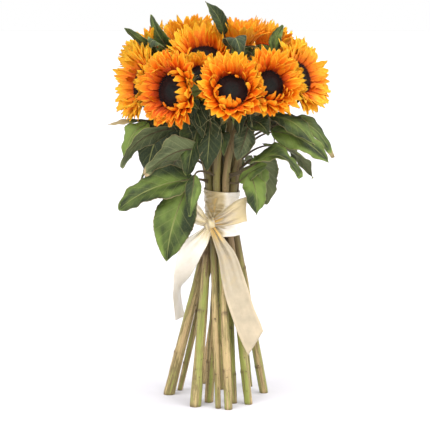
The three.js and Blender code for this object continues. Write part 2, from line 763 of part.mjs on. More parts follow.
function bandOf() {
  const places = [];
  const levels = BAND_LEVELS.length;
  for (const [skin, spare] of [BAND_CLEARANCE, BAND_THICKNESS].entries()) {
    BAND_LEVELS.forEach((share, level) => {
      for (let k = 0; k < BAND_SIDES; k += 1) {
        const slant = BAND_SLANT * share * Math.cos((2 * Math.PI * k) / BAND_SIDES + BAND_SLANT_TURN);
        const height = THREE.MathUtils.lerp(BAND_BOTTOM, BAND_TOP - BAND_SLANT, share) + slant;
        places.push(bandCorner(k, height, spare + skin * BAND_SWELL[level]));
      }
    });
  }
  const at = (skin, level, k) => (skin * levels + level) * BAND_SIDES + (k % BAND_SIDES);
  const faces = [];
  const quad = (a, b, c, d) => faces.push(a, b, c, a, c, d);
  for (let k = 0; k < BAND_SIDES; k += 1) {
    for (let level = 0; level < levels - 1; level += 1) {
      quad(at(1, level, k), at(1, level, k + 1), at(1, level + 1, k + 1), at(1, level + 1, k));
      quad(at(0, level, k + 1), at(0, level, k), at(0, level + 1, k), at(0, level + 1, k + 1));
    }
    quad(at(0, 0, k), at(0, 0, k + 1), at(1, 0, k + 1), at(1, 0, k));
    quad(at(1, levels - 1, k), at(1, levels - 1, k + 1), at(0, levels - 1, k + 1), at(0, levels - 1, k));
  }
  return solidOf(indexedGeometry(places, faces));
}

// Bow
function stripOf(stations) {
  const rows = stations.map(({ at, spread, width }) => {
    const middle = point(at);
    const half = point(spread).normalize().multiplyScalar(width / 2);
    return [middle.clone().sub(half), middle.clone().add(half)];
  });
  return evenBlade(rows);
}

function bowOf() {
  const knot = new THREE.SphereGeometry(1, KNOT_MERIDIANS, KNOT_PARALLELS);
  knot.scale(...KNOT_SIZE);
  knot.translate(...KNOT);
  const strips = [RIGHT_LOOP, LEFT_LOOP, RIGHT_TAIL, LEFT_TAIL].map(stripOf);
  return fused([solidOf(knot), ...strips]);
}

// The bunch
const bunch = new THREE.Group();
const nodeNumber = (k) => String(k + 1).padStart(2, "0");
stemRings.forEach((rings, k) => {
  bunch.add(meshOf(`stem_${nodeNumber(k)}`, leafyStemOf(rings, k + 1), GREEN));
});
heads.forEach((head, k) => {
  const rays = raysOf(head, seededDraws(BLOOM_SEED + k));
  bunch.add(meshOf(`bloom_${nodeNumber(k)}_rays`, rays, GOLD));
  bunch.add(meshOf(`bloom_${nodeNumber(k)}_disc`, discOf(head), SEED_BROWN));
});
bunch.add(meshOf("ribbon_band", bandOf(), CREAM_SATIN));
bunch.add(meshOf("ribbon_bow", bowOf(), CREAM_SATIN));

const footprint = new THREE.Box3().setFromObject(bunch);
const centre = footprint.getCenter(new THREE.Vector3());
bunch.position.set(-centre.x, -centre.y, 0);
bunch.updateMatrixWorld(true);

export default bunch;
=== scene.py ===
"""A hand-tied bunch of twelve sunflowers with a wide satin ribbon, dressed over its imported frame.

Design places are in millimetres. They are measured from the axis of the tie, with the cut ends
at zero height, and one shift carries them into the frame.
"""

from __future__ import annotations

import json
import logging
import math
from collections.abc import Callable, Sequence
from dataclasses import dataclass
from enum import Enum

import bpy
import numpy as np
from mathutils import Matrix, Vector


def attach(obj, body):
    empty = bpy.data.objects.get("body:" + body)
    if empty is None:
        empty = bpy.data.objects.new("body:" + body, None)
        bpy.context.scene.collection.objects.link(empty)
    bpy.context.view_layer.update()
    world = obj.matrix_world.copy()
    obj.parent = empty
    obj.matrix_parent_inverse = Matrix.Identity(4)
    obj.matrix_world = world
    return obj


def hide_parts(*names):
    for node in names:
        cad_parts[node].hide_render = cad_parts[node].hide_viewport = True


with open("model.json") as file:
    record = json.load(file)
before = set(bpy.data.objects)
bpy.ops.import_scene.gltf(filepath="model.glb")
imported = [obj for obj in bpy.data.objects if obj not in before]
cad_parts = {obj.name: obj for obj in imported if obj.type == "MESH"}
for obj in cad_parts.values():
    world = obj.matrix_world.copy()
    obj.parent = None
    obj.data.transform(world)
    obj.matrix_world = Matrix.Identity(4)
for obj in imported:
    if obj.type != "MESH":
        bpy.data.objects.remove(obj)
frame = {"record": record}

log = logging.getLogger("sunflowers")

Place = tuple[float, float, float]
Settings = dict[str, object]
Stops = tuple[tuple[float, str], ...]

MILLIMETRE = 0.001
GOLDEN_ANGLE = math.pi * (3 - math.sqrt(5))
BODY = "root"
CHART = "blade"
TINT = "tint"
UP = np.array([0.0, 0.0, 1.0])
RIGHT = np.array([1.0, 0.0, 0.0])


class Slot(Enum):
    """The record's material slots."""

    GREEN = "leaf_green"
    GOLD = "ray_gold"
    BROWN = "seed_brown"
    SATIN = "cream_satin"


class Hold(Enum):
    """How a length of ribbon is held."""

    HUNG = "hung"
    GATHERED = "gathered"
    FOLDED = "folded"


# Driving sizes
WAIST_HEIGHT = 299.0
WAIST_RADIUS = 6.0
NECK_RADIUS = 4.5
SPIRAL_SLOPE = 0.15
OUTER_RING = 19.6
INNER_RING = 7.8
BEND_SOFTNESS = 0.08
RECEPTACLE_DEPTH = 17.0
RIBBON_WIDTH = 38.0
BAND_BOTTOM = 264.0
BAND_TOP = 338.0


@dataclass(frozen=True)
class Bloom:
    """One flower head.

    Attributes:
        disc: The radius of its disc.
        ray: The length of its rays.
        lean: How far they stand from its axis, in degrees.
        place: Where its disc sits.
        facing: The way that it looks.
        shy: How much more room it keeps to its neighbours.
        parted: How many degrees more its shortened rays lean out on the side of the bow.
        ripe: How yellow its rays are, from 0 to 1.
        limp: The side where its petals curl in over the disc.
        drawn: How much its lower rays are shortened and drawn in.
    """

    disc: float
    ray: float
    lean: float
    place: Place
    facing: Place
    shy: float = 0.0
    parted: float = 0.0
    ripe: float = 0.6
    limp: Place = (0, 0, 0)
    drawn: float = 0.0


@dataclass(frozen=True)
class Stem:
    """One stem.

    Attributes:
        ring: How far from the bunch's axis it passes the tie.
        angle: In which direction it does, in degrees.
        foot: Where its cut end stands.
        end: The radius of its cut end.
        rise: How far it goes on straight above the tie.
        neck: How far it runs straight into its head.
    """

    ring: float
    angle: float
    foot: tuple[float, float]
    end: float
    rise: float
    neck: float


@dataclass(frozen=True)
class Leaf:
    """One leaf.

    Attributes:
        stem: The number of its stem.
        start: The height where its stalk leaves the stem.
        width: Its width.
        face: The way that its top side looks.
        midrib: The base, the bend and the tip of its midrib.
        tone: How light it is: partly its own colour, partly painted light and shade, low for leaves under
            the heads or deep in the bunch.
        dry: The share of its length beyond which it is dry.
    """

    stem: int
    start: float
    width: float
    face: Place
    midrib: tuple[Place, Place, Place]
    tone: float = 0.6
    dry: float = 0.97


BLOOMS = (
    Bloom(25, 43, 60, (-123, 8, 503), (-0.85, -0.45, 0.2), ripe=1.0, drawn=0.22),
    Bloom(28, 38, 56, (-72, -75, 496), (-0.6, -0.78, 0.05), ripe=0.22, limp=(1, -0.4, -0.1), drawn=0.34),
    Bloom(25, 36, 48, (14, -105, 497), (0.05, -0.9, 0.35), ripe=0.36, limp=(-0.6, 0, -0.8), drawn=0.34),
    Bloom(23, 36, 52, (71, -70, 504), (0.4, -0.85, 0.25), ripe=0.45, limp=(0.4, 0, -0.9), drawn=0.1),
    Bloom(25, 41, 60, (120, -5, 513), (0.75, -0.55, 0.3), ripe=0.95, drawn=0.2),
    Bloom(17, 25, 50, (-35, -38, 516), (-0.25, -0.85, 0.45), parted=15),
    Bloom(25, 42, 46, (-29, 22, 543), (-0.1, -0.6, 0.8), shy=2, parted=42, ripe=0.72),
    Bloom(20, 42, 32, (26, 42, 567), (0.1, -0.1, 0.98), shy=2.8, ripe=0.16),
    Bloom(22, 40, 52, (-107, 60, 543), (-0.6, 0.5, 0.6), shy=7),
    Bloom(22, 38, 44, (78, 68, 552), (0.4, 0.4, 0.8), shy=5, ripe=0.35),
    Bloom(22, 40, 48, (-56, 95, 562), (-0.3, 0.4, 0.85), shy=4, ripe=0.45),
    Bloom(24, 42, 54, (5, 112, 543), (0, 0.85, 0.5)),
)

STEMS = (
    Stem(OUTER_RING, 176, (-42, -71), 8.8, 110, 55),
    Stem(OUTER_RING, 216, (-6, -84), 4.3, 100, 50),
    Stem(OUTER_RING, 256, (10, -90), 6.3, 100, 50),
    Stem(OUTER_RING, 296, (42, -58), 6.5, 110, 50),
    Stem(OUTER_RING, 336, (69, 16), 7, 110, 55),
    Stem(INNER_RING, 225, (-21, -45), 7, 110, 40),
    Stem(INNER_RING, 110, (-2, 40), 7, 120, 50),
    Stem(INNER_RING, 350, (18, -51), 6, 120, 50),
    Stem(OUTER_RING, 136, (-86, 6), 9.2, 110, 50),
    Stem(OUTER_RING, 16, (47, 58), 4.3, 110, 50),
    Stem(OUTER_RING, 96, (-69, 32), 4.5, 120, 50),
    Stem(OUTER_RING, 56, (-30, 80), 6, 110, 50),
)
MOUNT_STEM = 9

# Each leaf's tone is partly painted light and shade, set leaf by leaf: low for the leaves under the heads.
LEAVES = (
    Leaf(1, 440, 24, (0, -0.3, 1), ((-104, 32, 440), (-140, 24, 447), (-182, 20, 438)), 0.4, 0.55),
    Leaf(1, 434, 42, (-0.5, -0.8, 0.3), ((-121, -8, 439), (-146, -14, 433), (-154, -14, 387))),
    Leaf(2, 409, 34, (0.1, 0.6, 0.8), ((-74, -42, 437), (-138, -60, 433), (-157, -52, 376))),
    Leaf(2, 389, 52, (-0.3, 0.7, 0.6), ((-40, -52, 405), (-78, -72, 411), (-121, -62, 366)), dry=0.92),
    Leaf(2, 351, 62, (-0.15, -0.7, 0.7), ((-53, -42, 356), (-116, -58, 351), (-163, -36, 308)), 0.48),
    Leaf(2, 345, 64, (-0.15, -0.96, 0.2), ((-54, -50, 347), (-86, -64, 277), (-86, -56, 230)), 0.62),
    Leaf(3, 359, 25, (-0.3, -0.95, 0.1), ((-43, -62, 363), (-46, -84, 339), (-50, -81, 303)), 0.62),
    Leaf(3, 424, 42, (-0.4, -0.9, 0.1), ((-18, -62, 447), (-20, -80, 419), (-24, -66, 373)), -0.15),
    Leaf(4, 409, 34, (0.3, 0.9, 0.2), ((39, -52, 436), (34, -64, 414), (23, -54, 388)), 0.2),
    Leaf(4, 424, 34, (0.1, -0.9, 0.4), ((46, -56, 449), (60, -70, 451), (72, -76, 429)), 0.0),
    Leaf(5, 429, 40, (0.1, -0.6, 0.8), ((80, -24, 455), (116, -44, 455), (143, -46, 411)), 0.3),
    Leaf(5, 409, 38, (0.6, -0.6, 0.6), ((98, 4, 443), (150, 2, 455), (177, -2, 387)), 0.42, 0.88),
    Leaf(5, 389, 46, (0.1, -0.9, 0.45), ((84, -26, 430), (128, -42, 429), (168, -28, 382))),
    Leaf(4, 361, 44, (0.1, -0.5, 0.9), ((50, -44, 381), (92, -66, 419), (122, -62, 361))),
    Leaf(4, 347, 28, (-0.3, -0.8, 0.5), ((30, -34, 354), (48, -50, 377), (70, -50, 381))),
    Leaf(4, 354, 38, (0.25, -0.95, 0.2), ((46, -44, 361), (57, -60, 334), (54, -56, 302)), 0.7),
    Leaf(5, 359, 28, (0.6, -0.7, 0.2), ((58, -16, 381), (66, -26, 359), (60, -26, 331))),
    Leaf(1, 491, 22, (-0.3, -0.8, -0.4), ((-107, 19, 551), (-121, 10, 569), (-154, 6, 592)), 0.3),
    Leaf(9, 489, 24, (-0.5, -0.85, 0.3), ((-78, 40, 554), (-104, 20, 575), (-113, 32, 613)), 0.3),
    Leaf(9, 509, 26, (-0.1, -0.6, 0.8), ((-88, 2, 557), (-116, -12, 586), (-111, -22, 560)), 0.3),
    Leaf(8, 530, 24, (0.3, -0.95, 0.1), ((3, 8, 585), (-2, -12, 610), (-26, -6, 633)), 0.3),
    Leaf(3, 449, 38, (0.15, -0.6, 0.8), ((14, -28, 562), (20, -52, 598), (30, -66, 546)), -0.1),
    Leaf(10, 489, 22, (-0.3, -0.95, 0.2), ((83, -4, 557), (82, -8, 581), (96, -6, 596)), 0.36),
    Leaf(9, 409, 48, (-0.5, 0.4, 0.75), ((-84, 58, 439), (-130, 86, 433), (-150, 96, 377))),
    Leaf(9, 359, 54, (-0.4, 0.8, 0.4), ((-56, 62, 389), (-88, 104, 379), (-96, 112, 309))),
    Leaf(12, 399, 48, (-0.1, 0.8, 0.6), ((-16, 74, 429), (-24, 120, 429), (-28, 134, 359))),
    Leaf(12, 354, 56, (0.2, 0.9, 0.3), ((4, 60, 381), (12, 108, 375), (12, 114, 299))),
    Leaf(10, 409, 48, (0.4, 0.6, 0.7), ((58, 64, 434), (108, 100, 433), (124, 112, 369))),
    Leaf(10, 354, 58, (0.5, 0.8, 0.3), ((52, 48, 379), (76, 88, 366), (74, 96, 300))),
    Leaf(5, 374, 46, (0.6, 0.3, 0.7), ((70, 22, 404), (122, 42, 409), (148, 48, 349))),
    Leaf(1, 369, 52, (-0.6, 0.4, 0.7), ((-66, 20, 391), (-116, 36, 395), (-138, 42, 327))),
)


# Leaves deep in the bunch, which show between the outer ones. Their low tones are painted shade.
INNER_LEAVES = (
    Leaf(3, 430, 50, (-0.2, -0.9, 0.35), ((-34, -48, 447), (-46, -62, 420), (-54, -50, 364)), 0.3),
    Leaf(2, 420, 44, (-0.2, -0.9, 0.3), ((-62, -32, 446), (-68, -42, 430), (-66, -28, 388)), -0.4),
    Leaf(9, 425, 62, (-0.3, -0.9, 0.2), ((-84, -4, 444), (-112, -20, 424), (-120, -16, 350)), -0.1),
    Leaf(6, 440, 40, (0.2, -0.9, 0.3), ((-12, -30, 470), (-14, -52, 452), (-6, -46, 398)), -0.4),
    Leaf(8, 440, 38, (0.1, -0.9, 0.3), ((34, -8, 470), (38, -40, 452), (36, -38, 398)), -0.4),
    Leaf(6, 450, 36, (-0.1, -0.95, 0.2), ((-26, -36, 490), (-26, -58, 476), (-22, -60, 428)), -0.4),
    Leaf(2, 470, 34, (0.3, -0.9, 0.2), ((-50, -50, 474), (-36, -66, 470), (-30, -70, 424)), -0.4),
)


def unit(values: np.ndarray) -> np.ndarray:
    """Gives vectors of length one along the same ways."""
    return values / np.linalg.norm(values, axis=-1, keepdims=True)


def ease(values: np.ndarray, low: float, high: float) -> np.ndarray:
    """Goes smoothly from 0 at low to 1 at high."""
    share = np.clip((values - low) / (high - low), 0, 1)
    return share * share * (3 - 2 * share)


def vector(values: Sequence[float]) -> np.ndarray:
    """Turns a place or a direction into a row of numbers to reckon with."""
    return np.array(values, dtype=float)


def bell(values: np.ndarray, width: float, middle: float = 0.0) -> np.ndarray:
    """Gives 1 at the middle, fading smoothly to nothing past about twice the width."""
    return np.exp(-(((values - middle) / width) ** 2))


def blend(control: np.ndarray, shares: np.ndarray) -> np.ndarray:
    """Blends control points by Bernstein's weights.

    Args:
        control: The control points.
        shares: The shares of the way from the first to the last.

    Returns:
        The blend at each share.
    """
    places = np.zeros((len(shares), 3))
    for k, point in enumerate(control):
        rest = len(control) - 1 - k
        weight = math.comb(len(control) - 1, k) * shares**k * (1 - shares) ** rest
        places += weight[:, None] * point
    return places


def bezier(points: Sequence[Sequence[float]], shares: np.ndarray) -> tuple[np.ndarray, np.ndarray]:
    """Gives the places on a curve of three or four control points, and the unit tangents there."""
    control = vector(points)
    return blend(control, shares), unit(blend(np.diff(control, axis=0), shares))


def smooth_run(knots: np.ndarray, steps: int) -> np.ndarray:
    """Passes a smooth curve through rows of numbers.

    Args:
        knots: One row of numbers for each knot.
        steps: The number of steps from each knot to the next.

    Returns:
        The rows along the curve, both ends included.
    """
    padded = np.vstack([2 * knots[0] - knots[1], knots, 2 * knots[-1] - knots[-2]])
    rows = []
    for k in range(len(knots) - 1):
        before, first, second, after = padded[k : k + 4]
        for share in np.arange(steps) / steps:
            rows.append(
                0.5
                * (
                    2 * first
                    + (second - before) * share
                    + (2 * before - 5 * first + 4 * second - after) * share**2
                    + (3 * first - before - 3 * second + after) * share**3
                )
            )
    rows.append(knots[-1])
    return np.array(rows)


def round_turns(sides: int) -> np.ndarray:
    """Gives that many even angles round a circle."""
    return np.linspace(0, 2 * np.pi, sides, endpoint=False)


def circle(turns: np.ndarray, first: np.ndarray, second: np.ndarray) -> np.ndarray:
    """Gives the places at angles on a unit circle, from one way towards another."""
    return np.cos(turns)[:, None] * first + np.sin(turns)[:, None] * second


def compass(turns: np.ndarray) -> np.ndarray:
    """Gives the level ways at angles, each by two coordinates."""
    return np.stack([np.cos(turns), np.sin(turns)], axis=-1)


def level_way(turn: float) -> np.ndarray:
    """Gives the level way at one angle."""
    return np.array([math.cos(turn), math.sin(turn), 0.0])


def distances(places: np.ndarray) -> np.ndarray:
    """Gives how far along their course places lie."""
    return np.concatenate([[0], np.cumsum(np.linalg.norm(np.diff(places, axis=0), axis=1))])


def moved(middles: np.ndarray, *moves: tuple[np.ndarray, np.ndarray]) -> np.ndarray:
    """Spreads a course out to a surface.

    Args:
        middles: The place that each row starts from.
        moves: Pairs of a way for each row, and how far each place of the row moves that way.

    Returns:
        Rows by columns by three coordinates.
    """
    places = middles[:, None, :]
    for way, amounts in moves:
        places = places + way[:, None, :] * amounts[..., None]
    return places


def even_chart(rows: int, columns: int, joined: bool = False) -> np.ndarray:
    """Makes a chart that runs evenly from 0 to 1 both ways.

    Args:
        rows: The number of rows along it.
        columns: The number of columns across it.
        joined: Whether the last column meets the first.

    Returns:
        Rows by columns by two chart coordinates.
    """
    across = np.linspace(0, 1, columns, endpoint=not joined)
    return np.stack(np.meshgrid(np.linspace(0, 1, rows), across, indexing="ij"), axis=-1)


def quads(rows: int, columns: int, joined: bool, start: int = 0) -> list[tuple[int, ...]]:
    """Lists the faces between rows of points.

    Args:
        rows: The number of rows.
        columns: The number of points in a row.
        joined: Whether the last column meets the first.
        start: The number of the first point.

    Returns:
        The four corners of each face.
    """
    faces = []
    for row in range(start, start + (rows - 1) * columns, columns):
        for k in range(columns if joined else columns - 1):
            near, far = row + k, row + (k + 1) % columns
            faces.append((near, far, far + columns, near + columns))
    return faces


def put(name: str, data: bpy.types.ID) -> bpy.types.Object:
    """Puts a mesh, camera or light into the scene.

    Args:
        name: The name of its object.
        data: The mesh, camera or light.

    Returns:
        Its object.
    """
    made = bpy.data.objects.new(name, data)
    bpy.context.scene.collection.objects.link(made)
    return made


def tie_shift() -> np.ndarray:
    """Finds the tie's axis in the frame, in millimetres, from the mount on a cut end."""
    mount = np.array(frame["record"]["mounts"][0]["pos_m"]) / MILLIMETRE
    return mount - np.array([*STEMS[MOUNT_STEM - 1].foot, mount[2]])


SHIFT = tie_shift()


class Draft:
    """The points and faces of one piece while it is made, in the design frame."""

    def __init__(self) -> None:
        """Starts an empty piece."""
        self.points: list[np.ndarray] = []
        self.faces: list[tuple[int, ...]] = []
        self.charts: list[np.ndarray] = []
        self.tints: list[np.ndarray] = []
        self.slots: list[int] = []
        self.count = 0

    def add(
        self,
        points: np.ndarray,
        chart: np.ndarray,
        tints: np.ndarray,
        faces: Sequence[tuple[int, ...]],
        slot: int = 0,
    ) -> None:
        """Adds points and faces.

        Args:
            points: The places of the points.
            chart: Their places on the chart.
            tints: Their tints.
            faces: The corners of the faces, counted through the whole piece.
            slot: The material slot of the faces.
        """
        self.points.append(points)
        self.charts.append(chart)
        self.tints.append(tints)
        self.faces += faces
        self.slots += [slot] * len(faces)
        self.count += len(points)

    def sheet(
        self,
        places: np.ndarray,
        chart: np.ndarray | None = None,
        tint: float | np.ndarray = 0.5,
        joined: bool = False,
    ) -> None:
        """Adds a surface of quads.

        Args:
            places: Rows by columns by three coordinates.
            chart: Rows by columns by two chart coordinates: along and across.
            tint: A share that the finish reads, for the surface or for each of its points.
            joined: Whether the last column meets the first.
        """
        rows, columns = places.shape[:2]
        chart = even_chart(rows, columns, joined) if chart is None else chart
        tints = np.broadcast_to(np.asarray(tint, dtype=float), (rows, columns)).reshape(-1)
        faces = quads(rows, columns, joined, self.count)
        self.add(places.reshape(-1, 3), chart.reshape(-1, 2), tints, faces)

    def lid(self, ring: np.ndarray, tint: float = 0.5, slot: int = 0, flipped: bool = False) -> None:
        """Closes a ring with faces to its middle.

        Args:
            ring: The places round the ring.
            tint: The tint at the ring. The middle's is 0.
            slot: The material slot of its faces.
            flipped: Whether the faces look the other way.
        """
        start, sides = self.count, len(ring)
        rim = 0.5 + 0.5 * compass(round_turns(sides))
        fan = [(start + k, start + (k + 1) % sides, start + sides) for k in range(sides)]
        faces = [corners[::-1] if flipped else corners for corners in fan]
        tints = np.append(np.full(sides, tint), 0.0)
        self.add(np.vstack([ring, ring.mean(axis=0)]), np.vstack([rim, [[0.5, 0.5]]]), tints, faces, slot)

    def piece(
        self,
        name: str,
        finishes: Sequence[bpy.types.Material],
        replaced: Sequence[str] = (),
        thickness: float = 0.0,
    ) -> bpy.types.Object:
        """Makes the piece, and ties it to the frame.

        Args:
            name: The piece's name.
            finishes: Its materials, in the order of its slots.
            replaced: The nodes that it stands for.
            thickness: The thickness to give an open surface, in millimetres.

        Returns:
            The piece.
        """
        mesh = bpy.data.meshes.new(name)
        points = (np.vstack(self.points) + SHIFT) * MILLIMETRE
        mesh.from_pydata(points.tolist(), [], self.faces)
        corners = np.zeros(len(mesh.loops), dtype=np.int32)
        mesh.loops.foreach_get("vertex_index", corners)
        chart = mesh.uv_layers.new(name=CHART)
        chart.data.foreach_set("uv", np.vstack(self.charts)[corners].ravel())
        tints = mesh.attributes.new(TINT, "FLOAT", "POINT")
        tints.data.foreach_set("value", np.concatenate(self.tints))
        for finish in finishes:
            mesh.materials.append(finish)
        mesh.polygons.foreach_set("material_index", np.array(self.slots, dtype=np.int32))
        mesh.polygons.foreach_set("use_smooth", np.ones(len(self.slots), dtype=bool))
        mesh.update()
        made = put(name, mesh)
        if thickness:
            shell = made.modifiers.new("thickness", "SOLIDIFY")
            shell.thickness = thickness * MILLIMETRE
            shell.offset = 0
            shell.material_offset = len(finishes) - 1
        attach(made, BODY)
        if replaced:
            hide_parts(*replaced)
        log.info("%s: %d faces", name, len(self.faces))
        return made


# Shader graphs
class Wire:
    """One output in a material's graph, with arithmetic on its values."""

    def __init__(self, graph: Graph, socket: bpy.types.NodeSocket) -> None:
        """Wraps a socket of a graph."""
        self.graph = graph
        self.socket = socket

    def _math(self, operation: str, *values: object) -> Wire:
        """Adds a node that works on values."""
        sockets = dict(enumerate(values))
        return self.graph.node("ShaderNodeMath", {"operation": operation}, sockets)

    def __add__(self, other: Wire | float) -> Wire:
        """Adds."""
        return self._math("ADD", self, other)

    __radd__ = __add__

    def __sub__(self, other: Wire | float) -> Wire:
        """Subtracts."""
        return self._math("SUBTRACT", self, other)

    def __rsub__(self, other: float) -> Wire:
        """Is subtracted."""
        return self._math("SUBTRACT", other, self)

    def __mul__(self, other: Wire | float) -> Wire:
        """Multiplies."""
        return self._math("MULTIPLY", self, other)

    __rmul__ = __mul__

    def __truediv__(self, other: Wire | float) -> Wire:
        """Divides."""
        return self._math("DIVIDE", self, other)

    def __pow__(self, other: float) -> Wire:
        """Raises to a power."""
        return self._math("POWER", self, other)

    def __abs__(self) -> Wire:
        """Drops the sign."""
        return self._math("ABSOLUTE", self)

    def fraction(self) -> Wire:
        """Keeps what is past the whole number."""
        return self._math("FRACT", self)

    def at_least(self, other: Wire | float) -> Wire:
        """Takes the larger value."""
        return self._math("MAXIMUM", self, other)

    def sine(self) -> Wire:
        """Takes the sine."""
        return self._math("SINE", self)

    def ease(self, low: float, high: float) -> Wire:
        """Goes smoothly from 0 to 1 between two values.

        Args:
            low: Where it is 0.
            high: Where it is 1. It may be the smaller of the two.

        Returns:
            The share.
        """
        sockets = {
            "Value": self,
            "From Min": min(low, high),
            "From Max": max(low, high),
            "To Min": float(low > high),
            "To Max": float(low < high),
        }
        return self.graph.node("ShaderNodeMapRange", {"interpolation_type": "SMOOTHSTEP"}, sockets)


def colour(code: str) -> tuple[float, ...]:
    """Turns a colour code such as #ffaa00 into linear red, green, blue and alpha."""
    shares = [int(code[k : k + 2], 16) / 255 for k in (1, 3, 5)]
    return (*(c / 12.92 if c <= 0.04045 else ((c + 0.055) / 1.055) ** 2.4 for c in shares), 1.0)


class Graph:
    """The nodes of one material or sky, round its one shader."""

    def __init__(
        self,
        owner: bpy.types.Material | bpy.types.World,
        shader: str,
        constants: dict[str, float] | None = None,
    ) -> None:
        """Starts a graph.

        Args:
            owner: The material or sky that holds it.
            shader: The name of its shader.
            constants: Values of the shader's own sockets.
        """
        self.owner = owner
        owner.use_nodes = True
        self.tree = owner.node_tree
        self.shader = self.tree.nodes[shader]
        for key, value in (constants or {}).items():
            self.shader.inputs[key].default_value = value

    @classmethod
    def skin(cls, name: str, constants: dict[str, float] | None = None) -> Graph:
        """Starts a new material."""
        return cls(bpy.data.materials.new(name), "Principled BSDF", constants)

    @classmethod
    def sky(cls, name: str) -> Graph:
        """Starts new surroundings."""
        return cls(bpy.data.worlds.new(name), "Background")

    def node(
        self,
        kind: str,
        settings: Settings | None = None,
        sockets: dict[int | str, object] | None = None,
        output: int | str = 0,
    ) -> Wire:
        """Adds a node.

        Args:
            kind: The node's type.
            settings: Its settings, set first. The stops of a ramp are pairs of a place and a colour.
            sockets: The values or wires of its sockets.
            output: The output to hand back.

        Returns:
            That output.
        """
        made = self.tree.nodes.new(kind)
        for key, value in (settings or {}).items():
            if key == "stops":
                self._stops(made.color_ramp, value)
            else:
                setattr(made, key, value)
        for key, value in (sockets or {}).items():
            self.feed(made.inputs[key], value)
        return Wire(self, made.outputs[output])

    @staticmethod
    def _stops(ramp: bpy.types.ColorRamp, stops: Stops) -> None:
        """Sets the stops of a ramp.

        Args:
            ramp: The ramp.
            stops: Its places and colour codes.
        """
        while len(ramp.elements) < len(stops):
            ramp.elements.new(1.0)
        for element, (place, code) in zip(ramp.elements, stops):
            element.position = place
            element.color = colour(code)

    def feed(self, socket: bpy.types.NodeSocket, value: object) -> None:
        """Gives a socket its input.

        Args:
            socket: The socket.
            value: A wire to link to it, or its own value.
        """
        if isinstance(value, Wire):
            self.tree.links.new(value.socket, socket)
        else:
            socket.default_value = value

    def shade(self, **sockets: Wire) -> bpy.types.Material | bpy.types.World:
        """Feeds the shader.

        Args:
            sockets: Its inputs by their sockets' names, with underscores for spaces.

        Returns:
            The material or sky that holds it.
        """
        for key, wire in sockets.items():
            self.feed(self.shader.inputs[key.replace("_", " ").title()], wire)
        return self.owner

    def ramp(self, value: Wire, stops: Stops) -> Wire:
        """Turns a value into a colour by the stops of a ramp."""
        return self.node("ShaderNodeValToRGB", {"stops": stops}, {0: value})

    def mix(self, share: Wire | float, first: Wire | str, second: Wire | str) -> Wire:
        """Mixes two colours, each of them a wire or a colour code."""
        ends = [colour(end) if isinstance(end, str) else end for end in (first, second)]
        return self.node("ShaderNodeMix", {"data_type": "RGBA"}, {0: share, 6: ends[0], 7: ends[1]}, 2)

    def axis(self, where: Wire, name: str) -> Wire:
        """Takes one coordinate of a place."""
        return self.node("ShaderNodeSeparateXYZ", None, {"Vector": where}, name)

    def chart(self) -> tuple[Wire, Wire]:
        """Gives the way along and the way across a blade, each from 0 to 1."""
        spot = self.node("ShaderNodeUVMap", {"uv_map": CHART})
        return self.axis(spot, "X"), self.axis(spot, "Y")

    def tint(self) -> Wire:
        """Gives the tint that each piece stores on its points."""
        return self.node("ShaderNodeAttribute", {"attribute_name": TINT}, None, "Fac")

    def spot(self, x: Wire | float, y: Wire | float, z: Wire | float) -> Wire:
        """Joins three values into a place."""
        return self.node("ShaderNodeCombineXYZ", None, {0: x, 1: y, 2: z})

    def body_spot(self) -> Wire:
        """Gives the place in the object's own space, in metres."""
        return self.node("ShaderNodeTexCoord", None, None, "Object")

    def noise(self, where: Wire, scale: float, detail: float = 3.0, rough: float = 0.55) -> Wire:
        """Gives soft noise from 0 to 1."""
        sockets = {"Vector": where, "Scale": scale, "Detail": detail, "Roughness": rough}
        return self.node("ShaderNodeTexNoise", None, sockets)

    def bump(self, height: Wire, depth: float, strength: float = 1.0, under: Wire | None = None) -> Wire:
        """Raises the surface by a height from 0 to 1, times a depth in millimetres."""
        sockets = {"Strength": strength, "Distance": depth * MILLIMETRE, "Height": height}
        return self.node("ShaderNodeBump", None, sockets | ({"Normal": under} if under else {}))


@dataclass(frozen=True)
class PetalFinish:
    """Gold petals that redden towards their roots, with fine ribs along them and a painted highlight along
    their edges.
    """

    name: str
    stops: Stops
    red: str
    pale: str
    roughness: float = 0.5

    def material(self) -> bpy.types.Material:
        """Makes the material.

        Returns:
            The material.
        """
        soft = {"Subsurface Weight": 0.1, "Subsurface Scale": 0.003, "Specular IOR Level": 0.25}
        graph = Graph.skin(self.name, soft)
        along, across = graph.chart()
        tint = graph.tint()
        side = abs(across * 2 - 1)
        streaks = graph.noise(graph.spot(along * 1.6, across * 11, tint * 40), 2.0)
        shifted = along + (streaks - 0.5) * 0.3 + (tint - 0.5) * 0.42
        gold = graph.ramp(shifted, self.stops)
        reddened = graph.mix((1 - tint).ease(0.7, 1.0) * 0.2, gold, self.red)
        # Painted highlight: each petal's edges go pale towards its tip. Riper petals also go paler towards
        # the tip, which is their own colour.
        edge_highlight_and_ripeness = side.ease(0.6, 1.0) * along.ease(0.25, 0.8) * 0.75 + tint.ease(0.55, 1.0) * along * 0.5
        brightened = graph.mix(edge_highlight_and_ripeness, reddened, self.pale)
        ribs = (across * 44).sine()
        veined = graph.mix(ribs.ease(-0.1, -1.0) * 0.42, brightened, self.red)
        rough = streaks * 0.2 + (self.roughness - 0.1)
        normal = graph.bump(ribs * 0.5 + streaks, 0.5, 0.8)
        return graph.shade(base_color=veined, roughness=rough, normal=normal)


